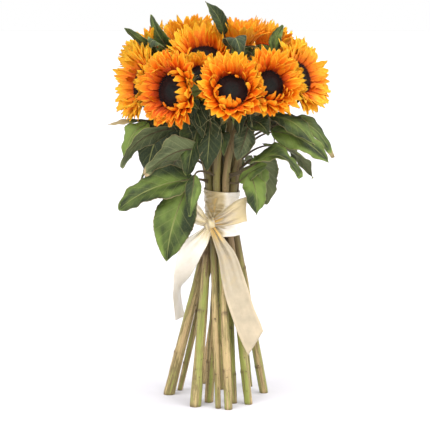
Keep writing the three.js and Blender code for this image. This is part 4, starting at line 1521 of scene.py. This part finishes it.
@dataclass
class LeafyStem:
    """One stem with its leaves.

    A sheltered stem bears more of the small leaves that hang close under its head.
    """

    path: StemPath
    leaves: tuple[Leaf, ...]
    finishes: Finishes
    sides: int = 24
    node_count: int = 5
    stub_top: float = 230.0
    leaf_rows: int = 45
    leaf_columns: int = 15
    leaf_thickness: float = 0.45
    upper_rows: int = 25
    upper_columns: int = 9
    upper_count: int = 3
    # The small leaves under the heads take a low tone: painted shade.
    shaded_upper_tone: float = 0.15
    sheltered: tuple[int, ...] = (6, 7, 8)
    sheltered_count: int = 6
    hairs: int = 420
    hair_radius: float = 0.16
    seed: int = 900

    def __post_init__(self) -> None:
        """Seeds the stem's own draws."""
        self.number = self.path.head.number
        self.draw = np.random.default_rng(self.seed + self.number)
        self.tag = f"stem_{self.number:02d}"
        self.upper_leaves = self.grow_upper_leaves()

    def make(self) -> None:
        """Makes the stem, its leaves, their stalks and its hairs."""
        self.make_cane()
        if self.leaves:
            self.make_leaves("leaves", self.leaves, self.leaf_rows, self.leaf_columns)
        self.make_leaves("upper_leaves", self.upper_leaves, self.upper_rows, self.upper_columns)
        self.make_stalks()
        self.make_hairs()

    def cane_relief(self, travelled: np.ndarray, nodes: np.ndarray) -> tuple[np.ndarray, np.ndarray]:
        """Works out the stem's swollen nodes and the scars under them.

        Args:
            travelled: How far from its foot each of its rings lies.
            nodes: How far from its foot each of its nodes lies.

        Returns:
            How much each place on each ring swells, and how dark it is marked.
        """
        swell, marks = np.zeros((2, len(travelled), self.sides))
        for node in nodes:
            side = self.draw.uniform(0, 2 * np.pi)
            window = np.clip(np.cos(round_turns(self.sides) - side), 0, 1)[None, :]
            under = (node - travelled)[:, None]
            collar = bell(under, 2.6)
            trace = ease(under, 0, 2) * (1 - ease(under, 26, 44))
            swell += collar * (0.015 + 0.13 * window**2) + 0.075 * trace * ease(window, 0.55, 0.85)
            edge = ease(window, 0.5, 0.62) - ease(window, 0.7, 0.82)
            marks += collar * (0.1 + 0.9 * window**2) + 0.75 * trace * edge
        return swell, marks

    def make_cane(self) -> None:
        """Makes the stem itself: ribbed, swollen at its nodes, cut level at its foot."""
        middles, radii = self.path.run(100, 34)
        travelled = distances(middles)
        nodes = self.draw.uniform(45, 75) + np.arange(self.node_count) * self.draw.uniform(70, 92)
        swell, marks = self.cane_relief(travelled, nodes)
        turns = round_turns(self.sides)[None, :]
        at_tie = np.exp(-(((middles[:, 2] - WAIST_HEIGHT) / 60.0) ** 4))[:, None]
        wind = travelled[:, None] / 260 + self.draw.uniform(0, 6)
        ribs = 0.042 * np.cos(5 * turns + wind) + 0.02 * np.cos(11 * turns - 2 * wind)
        wobble = 0.025 * np.sin(travelled / 21 + self.number)[:, None]
        sizes = radii[:, None] * (1 + (swell + ribs + wobble) * (1 - at_tie))
        sizes[0] *= 0.96
        draft = Draft()
        rings = tube_rings(middles, sizes, self.sides, level=True)
        chart = even_chart(len(rings), self.sides, True)
        chart[..., 0] = travelled[:, None] / 100
        chart[..., 1] = np.abs(chart[..., 1] - 0.5) * 2 + 3 * self.number
        frayed = bell(travelled, 2.2)[:, None]
        draft.sheet(rings, chart, tint=np.clip(marks + 0.8 * frayed, 0, 1), joined=True)
        draft.lid(rings[0], tint=1.0, slot=1, flipped=True)
        draft.lid(rings[-1])
        self.add_stubs(draft, nodes)
        draft.piece(f"{self.tag}_cane", self.finishes.cane)

    def add_stubs(self, draft: Draft, nodes: np.ndarray) -> None:
        """Adds the dry stubs where lower leaves were stripped off.

        Args:
            draft: The stem.
            nodes: The distances of its nodes from its foot.
        """
        middles, radii = self.path.run(120, 10)
        travelled = distances(middles)
        for node in nodes[:2]:
            if node > self.stub_top:
                continue
            k = int(np.argmax(travelled >= node))
            out = level_way(self.draw.uniform(math.pi, 2 * math.pi))
            start = middles[k] + out * radii[k] * 0.8
            reach = self.draw.uniform(1.8, 3.4)
            bent = start + out * reach + UP * self.draw.uniform(-0.5, 1.6)
            course, _ = bezier((start, start + out * reach * 0.7, bent), np.linspace(0, 1, 5))
            rings = tube_rings(course, np.array([2.0, 1.6, 1.3, 1.1, 0.7]), 7)
            draft.sheet(rings, tint=0.8, joined=True)
            draft.lid(rings[-1], tint=0.8)

    def make_hairs(self) -> None:
        """Makes the short stiff hairs of the stem above the tie, denser towards the head."""
        draft = Draft()
        shares = 1 - self.draw.uniform(0, 1, self.hairs) ** 1.4 * 0.85
        middles, tangents = bezier(self.path.curve, shares)
        for share, middle, tangent in zip(shares, middles, tangents):
            out = unit(np.cross(tangent, self.draw.normal(0, 1, 3)))
            foot = middle + out * upper_radius(share) * 0.93
            way = unit(out + tangent * self.draw.uniform(-0.5, 0.3) + self.draw.normal(0, 0.2, 3))
            add_hair(draft, foot, way * self.draw.uniform(1.6, 3.4), self.hair_radius)
        draft.piece(f"{self.tag}_hairs", self.finishes.hair)

    def make_leaves(self, name: str, leaves: Sequence[Leaf], rows: int, columns: int) -> None:
        """Makes some of the stem's leaves as one piece.

        Args:
            name: What they are called after the stem.
            leaves: The leaves.
            rows: The number of rows along each.
            columns: The number of columns across each.
        """
        draft = Draft()
        for leaf in leaves:
            self.add_leaf(draft, leaf, rows, columns)
        draft.piece(f"{self.tag}_{name}", self.finishes.leaf, thickness=self.leaf_thickness)

    def grow_upper_leaves(self) -> tuple[Leaf, ...]:
        """Places the small leaves round the top of the stem.

        Returns:
            The leaves.
        """
        draw, leaves = self.draw, []
        count = self.sheltered_count if self.number in self.sheltered else self.upper_count
        for k in range(count):
            start = bezier(self.path.curve, np.array([draw.uniform(0.5, 0.86)]))[0][0]
            spread = (k - (count - 1) / 2) * 3.4 / count
            out = level_way(math.atan2(start[1], start[0]) + spread + draw.uniform(-0.3, 0.3))
            length = draw.uniform(42, 64)
            base = start + 11 * out + 2 * UP
            bend = base + length * (0.5 * out + 0.12 * UP)
            tip = base + length * (draw.uniform(0.3, 0.6) * out - draw.uniform(0.5, 0.85) * UP)
            width = length * draw.uniform(0.4, 0.52)
            face = tuple(0.5 * out + 0.85 * UP)
            midrib = (tuple(base), tuple(bend), tuple(tip))
            leaves.append(Leaf(self.number, float(start[2]), width, face, midrib, self.shaded_upper_tone))
        return tuple(leaves)

    def make_stalks(self) -> None:
        """Makes the stalks and the raised midribs of the stem's leaves."""
        draft = Draft()
        for leaf in self.leaves + self.upper_leaves:
            self.add_stalk(draft, leaf)
        draft.piece(f"{self.tag}_stalks", self.finishes.stalk)

    def leaf_frame(self, leaf: Leaf, shares: np.ndarray) -> tuple[np.ndarray, ...]:
        """Works out the run of a leaf.

        Args:
            leaf: The leaf.
            shares: The shares of the way from its base to its tip.

        Returns:
            The midrib's places and tangents, the way across the blade, and the ways that its top looks.
        """
        middles, tangents = bezier(leaf.midrib, shares)
        face = vector(leaf.face)
        across = unit(np.cross(face, unit(vector(leaf.midrib[2]) - vector(leaf.midrib[0]))))
        lifts = unit(np.cross(tangents, across))
        signs = np.where(lifts @ face < 0, -1.0, 1.0)
        return middles, tangents, across, lifts * signs[:, None]

    def add_leaf(self, draft: Draft, leaf: Leaf, rows: int, columns: int) -> None:
        """Adds a leaf's blade: heart-shaped, toothed, folded at its midrib and puffed between veins.

        Args:
            draft: The piece that it joins.
            leaf: The leaf.
            rows: The number of rows along it.
            columns: The number of columns across it.
        """
        shares = np.linspace(0, 1, rows)
        middles, tangents, across, lifts = self.leaf_frame(leaf, shares)
        s = shares[:, None]
        v = np.linspace(1, -1, columns)[None, :]
        side = np.abs(v)
        half = leaf.width / 2 * np.sin(np.pi * shares**0.66) ** 0.85
        half = half[:, None] + 0.02 * leaf.width
        teeth = 0.045 * np.mod(s * 17 + (v > 0) * 0.4, 1.0) * ease(side, 0.8, 1.0)
        reach = half * (1 - teeth)
        fold = self.draw.uniform(0.2, 0.5)
        droop = self.draw.uniform(0.1, 0.45)
        twist = np.radians(self.draw.uniform(-32, 32)) * (shares - 0.25)
        phase = self.draw.uniform(0, 2 * np.pi)
        turns = self.draw.uniform(1.1, 2.0)
        course = s - side * VEIN_SWEEP + VEIN_CURVE * side**2
        puff = 0.5 - 0.5 * np.cos(2 * np.pi * (course * SIDE_VEINS - 0.5))
        swells = leaf.width * 0.018 * puff * np.sin(np.pi * np.clip(side, 0, 1)) ** 0.7 * np.sin(np.pi * s)
        waves = 0.095 * leaf.width * side**2 * np.sin(phase + 2 * np.pi * turns * s + 1.4 * np.sign(v))
        crimps = 0.03 * leaf.width * side**3 * np.sin(phase * 3 + 2 * np.pi * 5 * s + 2 * np.sign(v))
        bends = reach * (fold * side - droop * side**2)
        lift = bends + (waves + crimps) * ease(s, 0, 0.2) + swells
        lobe = 0.16 * leaf.width * side**1.6 * np.exp(-s / 0.1)
        across = circle(twist, across, lifts)
        tops = np.cross(tangents, across)
        tops *= np.where(np.sum(tops * lifts, axis=1) < 0, -1.0, 1.0)[:, None]
        places = moved(middles, (across, v * reach), (tops, lift))
        places -= unit(middles[-1] - middles[0]) * lobe[..., None]
        tone = min(leaf.tone + float(self.draw.uniform(-0.2, 0.2)), 1)
        draft.sheet(places, tint=tone + 1.5 * ease(s + 0.04 * side, leaf.dry, leaf.dry + 0.12))

    def add_stalk(self, draft: Draft, leaf: Leaf) -> None:
        """Adds a leaf's stalk, which runs on under the blade as its midrib and thins to nothing.

        Args:
            draft: The piece that it joins.
            leaf: The leaf.
        """
        start, _ = self.path.at_height(leaf.start)
        base = vector(leaf.midrib[0])
        _, tangent = bezier(leaf.midrib, np.array([0.0]))
        bend = base - 0.4 * float(np.linalg.norm(base - start)) * tangent[0]
        stalk, _ = bezier((start, bend, base), np.linspace(0, 1, 14))
        shares = np.linspace(0, 1, 22)[1:]
        middles, _, _, lifts = self.leaf_frame(leaf, shares)
        thin = np.linspace(1.0, 0.12, len(shares)) ** 1.2 * 1.15
        radii = np.concatenate([np.linspace(2.1, 1.35, len(stalk)), thin])
        rings = tube_rings(np.vstack([stalk, middles - lifts * 0.35]), radii, 8)
        draft.sheet(rings, tint=0.0, joined=True)
        draft.lid(rings[-1])


# Dry threads that hang out under the heads: where each starts, bends and ends
THREADS = (
    ((-34, -58, 476), (-30, -84, 452), (-4, -84, 446)),
    ((-40, -56, 474), (-48, -84, 446), (-24, -86, 436)),
    ((2, -84, 478), (-10, -98, 452), (-38, -86, 446)),
    ((6, -84, 476), (4, -100, 448), (-12, -92, 432)),
    ((-44, -56, 474), (-58, -84, 448), (-44, -82, 430)),
    ((20, -84, 476), (34, -100, 452), (22, -90, 438)),
    ((-28, -54, 478), (-16, -80, 470), (-18, -84, 440)),
    ((66, -54, 488), (78, -74, 458), (70, -72, 440)),
    ((118, 4, 494), (142, -12, 470), (128, -18, 460)),
    ((124, 6, 494), (154, -2, 482), (158, -8, 466)),
    ((112, 2, 494), (120, -20, 468), (112, -22, 456)),
    ((-110, 14, 486), (-122, -6, 462), (-108, -12, 448)),
    ((-74, -60, 478), (-86, -84, 446), (-70, -86, 440)),
)


@dataclass
class Threads:
    """The dry threads among the bracts and leaves."""

    finishes: Finishes
    radius: float = 0.45
    sides: int = 5
    steps: int = 26
    seed: int = 77

    def make(self) -> None:
        """Makes them as one piece."""
        draft = Draft()
        draw = np.random.default_rng(self.seed)
        shares = np.linspace(0, 1, self.steps)
        s = shares[:, None]
        for course in THREADS:
            middles, _ = bezier(course, shares)
            sway = np.cumsum(draw.normal(0, 0.3, (self.steps, 3)), axis=0) * s
            curl = 4 * s**3 * np.hstack([np.sin(9 * s), 0 * s, np.cos(9 * s) - 1])
            rings = tube_rings(middles + sway + curl, self.radius * (1 - 0.75 * shares), self.sides)
            draft.sheet(rings, joined=True)
            draft.lid(rings[-1])
        draft.piece("dry_threads", self.finishes.thread)


# Ribbon
@dataclass(frozen=True)
class Station:
    """One place along a strip of ribbon: its middle, the way it is spread, and its width."""

    at: Place
    spread: Place
    width: float


KNOT = np.array([-19.0, -33.3, 286.0])
RIGHT_LOOP = (
    Station((-17, -35, 286), (0, 0, 1), 10),
    Station((4, -33, 295), (-0.2, 0, 1), 22),
    Station((24, -34, 305), (-0.15, 0, 1), 34),
    Station((36, -36, 309), (0, 0, 1), 38),
    Station((39, -40, 309), (0, 0, 1), 38),
    Station((35, -44, 309), (0, 0, 1), 38),
    Station((22, -46, 303), (-0.15, 0, 1), 32),
    Station((2, -44, 293), (-0.2, 0, 1), 20),
    Station((-17, -38, 287), (0, 0, 1), 10),
)
LEFT_LOOP = (
    Station((-21, -35, 286), (0, 0, 1), 10),
    Station((-34, -34, 296), (0.3, 0, 1), 24),
    Station((-48, -36, 308), (0.1, 0, 1), 34),
    Station((-52, -39, 310), (0, 0, 1), 36),
    Station((-48, -43, 308), (0.1, 0, 1), 34),
    Station((-34, -43, 296), (0.3, 0, 1), 24),
    Station((-21, -38, 287), (0, 0, 1), 10),
)
RIGHT_TAIL = (
    Station((-16, -37, 281), (1, 0, 0.3), 9),
    Station((-4, -43, 259), (1, 0, 0.4), 18),
    Station((8, -47, 235), (1, 0.05, 0.4), 28),
    Station((16, -51, 205), (1, 0.1, 0.3), 35),
    Station((24, -57, 176), (1, 0.1, 0.38), 38),
    Station((35, -62, 143), (1, 0.1, 0.45), 38),
    Station((53, -67, 100), (0.62, 0.1, 1), 45),
)
LEFT_TAIL = (
    Station((-21, -37, 281), (1, 0, -0.3), 9),
    Station((-33, -37, 263), (1, 0, -0.6), 26),
    Station((-48, -33, 243), (1, 0.1, -0.7), 36),
    Station((-63, -13, 205), (0.75, 0.7, -0.3), 38),
    Station((-71, 13, 174), (0.3, 0.95, 0), 38),
    Station((-71, 35, 149), (0.35, 0.93, 0), 38),
    Station((-68, 47, 117), (0.4, 0.9, 0), 38),
)


def ring_chart(rows: int, sides: int) -> np.ndarray:
    """Makes the chart of a ring of ribbon: along it and back, and across its width.

    Args:
        rows: The number of rows across the ribbon.
        sides: The number of places round the ring.

    Returns:
        Rows by sides by two chart coordinates.
    """
    along = np.abs(np.linspace(-1, 1, sides, endpoint=False))
    return np.stack(np.meshgrid(along, np.linspace(0, 1, rows)), axis=-1)


def declare_cloth(length: float) -> None:
    """Works out the flat size of a cloth cut from the ribbon to a length, and does nothing more with it."""
    flat = (RIBBON_WIDTH * MILLIMETRE, length * MILLIMETRE)


@dataclass
class RibbonStrip:
    """A length of the ribbon that passes through stations, pleated where it is drawn together.

    Its tone is painted shade that makes it more golden and darker, and its dusk is painted shadow that
    darkens it a little below the knot.
    """

    name: str
    stations: tuple[Station, ...]
    hold: Hold
    finishes: Finishes
    phase: float
    tone: float
    painted_dusk: float = 0.0
    steps: int = 12
    columns: int = 25
    pleats: float = 2.5
    thickness: float = 0.35
    most_spare: float = 4.5
    deepest: float = 0.66

    def places(self) -> tuple[np.ndarray, np.ndarray, float]:
        """Works out the strip's surface.

        Returns:
            Its places, how deep each lies in a fold, and its length along the middle.
        """
        knots = np.array([[*st.at, *unit(vector(st.spread)), st.width] for st in self.stations])
        rows = smooth_run(knots, self.steps)
        middles, spreads, widths = rows[:, :3], unit(rows[:, 3:6]), rows[:, 6:7]
        normals = unit(np.cross(spreads, unit(np.gradient(middles, axis=0))))
        v = np.linspace(-1, 1, self.columns)[None, :]
        travelled = distances(middles)
        along = travelled[:, None]
        waves = np.pi * self.pleats * v
        folds = 0.62 * np.sin(waves + self.phase + along / 45)
        folds = folds + 0.4 * np.sin(1.63 * waves + 2.1 * self.phase - along / 60)
        folds = folds + 0.3 * np.sin(0.55 * waves + 3.3 * self.phase)
        spare = np.sqrt(np.clip((RIBBON_WIDTH / widths) ** 2 - 1, 0, self.most_spare))
        depth = 0.62 * widths / (np.pi * self.pleats) * spare
        soft = np.sin(2.2 * v + along / 17 + self.phase) * (widths / RIBBON_WIDTH) ** 2
        creases = 0.35 * np.sin(5.1 * v - along / 9 + 2 * self.phase) * np.sin(along / 26 + self.phase) ** 2
        curl = 1.1 * v**2 * np.sin(along / 30 + self.phase)
        lift = depth * folds + soft + creases + curl
        # Painted shade: darker where the strip is gathered narrow near the knot, and gold in the troughs of
        # its folds close to the knot.
        near = np.clip((37 - widths) / 24, 0, 1)
        from_knot = along if self.hold is Hold.HUNG else np.minimum(along, along[-1] - along)
        painted_fold_gold = 0.5 * np.clip(0.4 - 0.8 * folds, 0, 1) * bell(from_knot, 20)
        # Painted shadow below the knot on one side, and painted highlight along both edges.
        dusk_shadow_mask = bell(along, 38, 45) * (0.5 - 0.5 * v) + 0.25 * bell(along, 60, 60)
        shade = self.tone + 0.14 * near + self.painted_dusk * dusk_shadow_mask - 0.06 * ease(np.abs(v), 0.72, 0.92)
        shade = np.clip(np.minimum(shade, self.deepest) + painted_fold_gold, 0, 1)
        return moved(middles, (spreads, v * widths / 2), (normals, lift)), shade, float(travelled[-1])

    def make(self, replaced: Sequence[str] = ()) -> None:
        """Args:
            replaced: The nodes that it stands for.
        """
        places, shade, length = self.places()
        draft = Draft()
        draft.sheet(places, tint=shade)
        made = draft.piece(self.name, self.finishes.satin, replaced, self.thickness)
        declare_cloth(length)


@dataclass
class RibbonWrap:
    """One turn of the ribbon round the stems, wrinkled towards the knot.

    Its slant is how far its upper edge tilts. Its tone is painted shade that makes it more golden. Where it
    is tucked, its lower edge lies that much further in.
    """

    name: str
    bottom: float
    clearance: float
    finishes: Finishes
    paths: tuple[StemPath, ...]
    slant: float = 0.0
    tone: float = 0.0
    tucked: float = 0.0
    sides: int = 170
    rows: int = 32
    thickness: float = 0.4
    deepest: float = 0.84

    def reach(self, turns: np.ndarray, height: float) -> np.ndarray:
        """Finds how far the stems reach out of the axis at a height.

        Args:
            turns: The directions.
            height: The height.

        Returns:
            The furthest reach in each direction.
        """
        ends = [path.at_height(height) for path in self.paths]
        return np.max([compass(turns) @ middle[:2] + thick for middle, thick in ends], axis=0)

    def places(self) -> tuple[np.ndarray, np.ndarray]:
        """Works out the wrap's surface.

        Returns:
            Its places, and the painted shade at each.
        """
        turns = round_turns(self.sides)
        shares = np.linspace(0, 1, self.rows)[:, None]
        slants = self.slant * np.cos(turns + 0.6)[None, :]
        heights = self.bottom + RIBBON_WIDTH * shares + slants * shares
        low = self.reach(turns, self.bottom)[None, :]
        high = self.reach(turns, self.bottom + RIBBON_WIDTH)[None, :]
        wall = low * (1 - shares) + high * shares + self.clearance
        away = np.angle(np.exp(1j * (turns - math.atan2(KNOT[1], KNOT[0]))))[None, :] * 30
        up = heights - KNOT[2]
        spin = np.arctan2(up, np.abs(away) + 3)
        pull = bell(np.hypot(away, up), 34)
        gathers = np.cos(15 * spin + 1.3 * np.sign(away)) + 0.6 * np.cos(26 * spin - 0.8 * np.sign(away))
        slack = 0.5 + 0.5 * np.sin(turns * 3 + self.bottom)[None, :]
        rolls = np.sin(up / 2.2 + np.sin(turns * 2)[None, :] * 2.1 + 1.4 * np.sin(turns * 5 + 1)[None, :])
        rolls = rolls + 0.7 * np.sin(up / 1.3 - 2.4 * np.sin(turns * 3 + 0.5)[None, :] + 4 * shares) * slack
        creases = np.sin(up / 1.1 + 9 * np.sin(turns - 0.4)[None, :]) * np.sin(up / 6 + turns * 2) ** 2
        relief = 0.95 * gathers * pull + (0.6 * rolls + 0.3 * creases) * (1 - 0.7 * pull)
        edges = ease(np.abs(shares - 0.5), 0.42, 0.5)
        under = (1 - ease(shares, 0.08, 0.22)) * min(self.tucked, 1)
        spread = wall + relief * (1 - 0.5 * edges) * (1 - under) + 0.5 - self.tucked * under
        places = np.concatenate([spread[..., None] * compass(turns), heights[..., None]], axis=-1)
        # Painted shade: gold in the troughs of the wrinkles and where they gather at the knot, most in a V
        # above it; it fades to plain cream away from the knot.
        above = ease(up, -4, 8) * bell(away, 17)
        shade = np.clip(0.3 - 0.26 * relief, 0, 1) * (0.4 + 0.6 * pull) + 0.26 * above + self.tone
        shade = shade * (1 - 0.9 * ease(away, 14, 26))
        return places, np.clip(shade, 0, self.deepest)

    def make(self, replaced: Sequence[str] = ()) -> None:
        """Args:
            replaced: The nodes that it stands for.
        """
        places, shade = self.places()
        draft = Draft()
        draft.sheet(places, ring_chart(self.rows, self.sides), shade, joined=True)
        satin = self.finishes.crumpled_satin
        made = draft.piece(self.name, satin, replaced, self.thickness)
        row = places[self.rows // 2]
        declare_cloth(float(distances(np.vstack([row, row[:1]]))[-1]))


@dataclass
class Knot:
    """The short turn of ribbon that draws the bow together.

    Its length is what its crest measures, less what is tucked in behind.
    """

    finishes: Finishes
    size: tuple[float, float, float] = (8.4, 9.0, 8.2)
    length_share: float = 0.86
    tilt: float = 0.35
    sides: int = 56
    rows: int = 33
    thickness: float = 0.4

    def make(self) -> None:
        """Makes the knot as a pleated ring whose edges turn in at both ends."""
        wide, deep, tall = self.size
        turns = round_turns(self.sides)[None, :]
        shares = np.linspace(-1, 1, self.rows)[:, None] * 0.92 * np.pi
        folds = 0.6 * np.cos(4.1 * shares + 1.5 * np.sin(turns + 0.7))
        folds = folds + 0.4 * np.cos(7.3 * shares - 1.1 * np.sin(turns))
        bulge = (0.5 + 0.5 * np.cos(shares)) ** 0.45 * (1 + 0.1 * folds)
        x = wide * np.sin(shares) + 0 * turns
        z = tall * bulge * np.sin(turns)
        right = x * math.cos(self.tilt) - z * math.sin(self.tilt)
        up = x * math.sin(self.tilt) + z * math.cos(self.tilt)
        places = np.stack([right, deep * bulge * np.cos(turns), up], -1) + KNOT + np.array([0, -0.6, 0])
        draft = Draft()
        # Painted shade: gold in the troughs of the knot's folds.
        shade = np.clip(0.46 - 0.26 * folds, 0, 1)
        draft.sheet(places, ring_chart(self.rows, self.sides), shade, joined=True)
        made = draft.piece("bow_knot", self.finishes.satin, thickness=self.thickness)
        declare_cloth(self.length_share * math.pi * (deep + tall))


@dataclass
class Ribbon:
    """The ribbon: two wraps, and the bow with its loops, tails and knot."""

    finishes: Finishes
    paths: tuple[StemPath, ...]
    overlap: float = 2.0

    def make(self) -> None:
        """Makes every length of the ribbon."""
        satin, paths = self.finishes, self.paths
        upper = BAND_TOP - RIBBON_WIDTH - self.overlap
        # Each tone and dusk below is painted shade on that length of ribbon.
        RibbonWrap("wrap_lower", BAND_BOTTOM, 1.0, satin, paths).make(["ribbon_band"])
        RibbonWrap("wrap_upper", upper, 0.9, satin, paths, slant=-2.4, tone=0.24, tucked=1.0).make()
        right = RibbonStrip("bow_tail_right", RIGHT_TAIL, Hold.HUNG, satin, phase=0.4, tone=0.62, painted_dusk=0.12)
        right.make(["ribbon_bow"])
        for strip in (
            RibbonStrip("bow_tail_left", LEFT_TAIL, Hold.HUNG, satin, phase=2.1, tone=0.0),
            RibbonStrip("bow_loop_right", RIGHT_LOOP, Hold.FOLDED, satin, phase=1.0, tone=0.48, steps=10),
            RibbonStrip("bow_loop_left", LEFT_LOOP, Hold.FOLDED, satin, phase=0.2, tone=0.1, steps=10),
        ):
            strip.make()
        Knot(satin).make()


# Studio
@dataclass(frozen=True)
class Light:
    """One soft far light.

    Its azimuth is how far right of the camera it stands and its softness how wide it is. All its
    angles are in degrees.
    """

    name: str
    azimuth: float
    elevation: float
    softness: float
    power: float


@dataclass
class Studio:
    """The pale floor, the soft light and the camera at the photograph's angle.

    Its target is a design place and its sensor is in millimetres. Its other lengths are in metres.
    """

    distance: float = 2.4
    elevation: float = 7.5
    target: Place = (-11, 0, 295)
    seen_width: float = 0.688
    sensor: float = 36.0
    clip_end: float = 100.0
    floor_reach: float = 60.0
    floor_sides: int = 96
    floor_rings: int = 24
    overhead: str = "#8e8e96"
    horizon: str = "#ffffff"
    light_distance: float = 3.0
    lights: tuple[Light, ...] = (
        Light("key", -50, 46, 60, 2.5),
        Light("fill", 60, 38, 60, 2.4),
        Light("top", 150, 68, 60, 1.9),
        Light("front", 5, 24, 70, 0.8),
    )

    def __post_init__(self) -> None:
        """Finds the point that the camera looks at."""
        self.centre = Vector((np.array(self.target) + SHIFT) * MILLIMETRE)

    def add_camera(self) -> None:
        """Makes the camera."""
        data = bpy.data.cameras.new("camera")
        camera = put("camera", data)
        tilt = math.radians(self.elevation)
        forward = Vector((0, math.cos(tilt), -math.sin(tilt)))
        camera.location = self.centre - forward * self.distance
        camera.rotation_euler = forward.to_track_quat("-Z", "Y").to_euler()
        data.sensor_width = self.sensor
        data.lens = self.sensor * self.distance / self.seen_width
        data.clip_end = self.clip_end
        bpy.context.scene.camera = camera

    def add_floor(self) -> None:
        """Makes the pale floor, which runs out to a far horizon."""
        graph = Graph.skin("floor", {"Specular IOR Level": 0.0})
        cloud = graph.noise(graph.body_spot(), 0.8)
        finish = graph.shade(base_color=graph.mix(cloud, "#d0ced1", "#d3d1d4"), roughness=cloud * 0.1 + 0.8)
        radii = np.append([0.001], np.geomspace(0.3, self.floor_reach, self.floor_rings))
        flat = radii[:, None, None] * compass(round_turns(self.floor_sides))
        points = np.concatenate([flat, np.zeros_like(flat[..., :1])], axis=-1).reshape(-1, 3)
        faces = quads(len(radii), self.floor_sides, True)
        mesh = bpy.data.meshes.new("floor")
        mesh.from_pydata(points.tolist(), [], faces)
        mesh.materials.append(finish)
        mesh.polygons.foreach_set("use_smooth", np.ones(len(faces), dtype=bool))
        put("floor", mesh)

    def add_light(self, light: Light) -> None:
        """Makes one light.

        Args:
            light: The light.
        """
        data = bpy.data.lights.new(light.name, "SUN")
        data.energy = light.power
        data.angle = math.radians(light.softness)
        turn, rise = math.radians(light.azimuth), math.radians(light.elevation)
        towards = Vector((math.sin(turn) * math.cos(rise), -math.cos(turn) * math.cos(rise), math.sin(rise)))
        made = put(light.name, data)
        made.location = self.centre + self.light_distance * towards
        made.rotation_euler = (-towards).to_track_quat("-Z", "Y").to_euler()

    def add_world(self) -> None:
        """Makes the surroundings: white near the horizon and softer overhead."""
        graph = Graph.sky("studio")
        rise = graph.axis(graph.node("ShaderNodeTexCoord", None, None, "Generated"), "Z")
        shades = graph.mix(rise.ease(0.4, 0.12), self.overhead, self.horizon)
        bpy.context.scene.world = graph.shade(color=shades)

    def make(self) -> None:
        """Makes the whole studio."""
        self.add_camera()
        self.add_floor()
        self.add_world()
        for light in self.lights:
            self.add_light(light)
        bpy.context.scene.view_settings.view_transform = "Standard"


def main() -> None:
    """Dresses the bunch: studio, heads, stems with their leaves, then the ribbon."""
    logging.basicConfig(level=logging.INFO, format="%(name)s: %(message)s")
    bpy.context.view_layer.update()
    Studio().make()
    finishes = Finishes()
    paths = tuple(StemPath(stem, head) for stem, head in zip(STEMS, HEADS))
    for path in paths:
        SunflowerHead(path.head, finishes).make()
        own = tuple(leaf for leaf in LEAVES + INNER_LEAVES if leaf.stem == path.head.number)
        LeafyStem(path, own, finishes).make()
    Threads(finishes).make()
    Ribbon(finishes, paths).make()


if __name__ == "__main__":
    main()
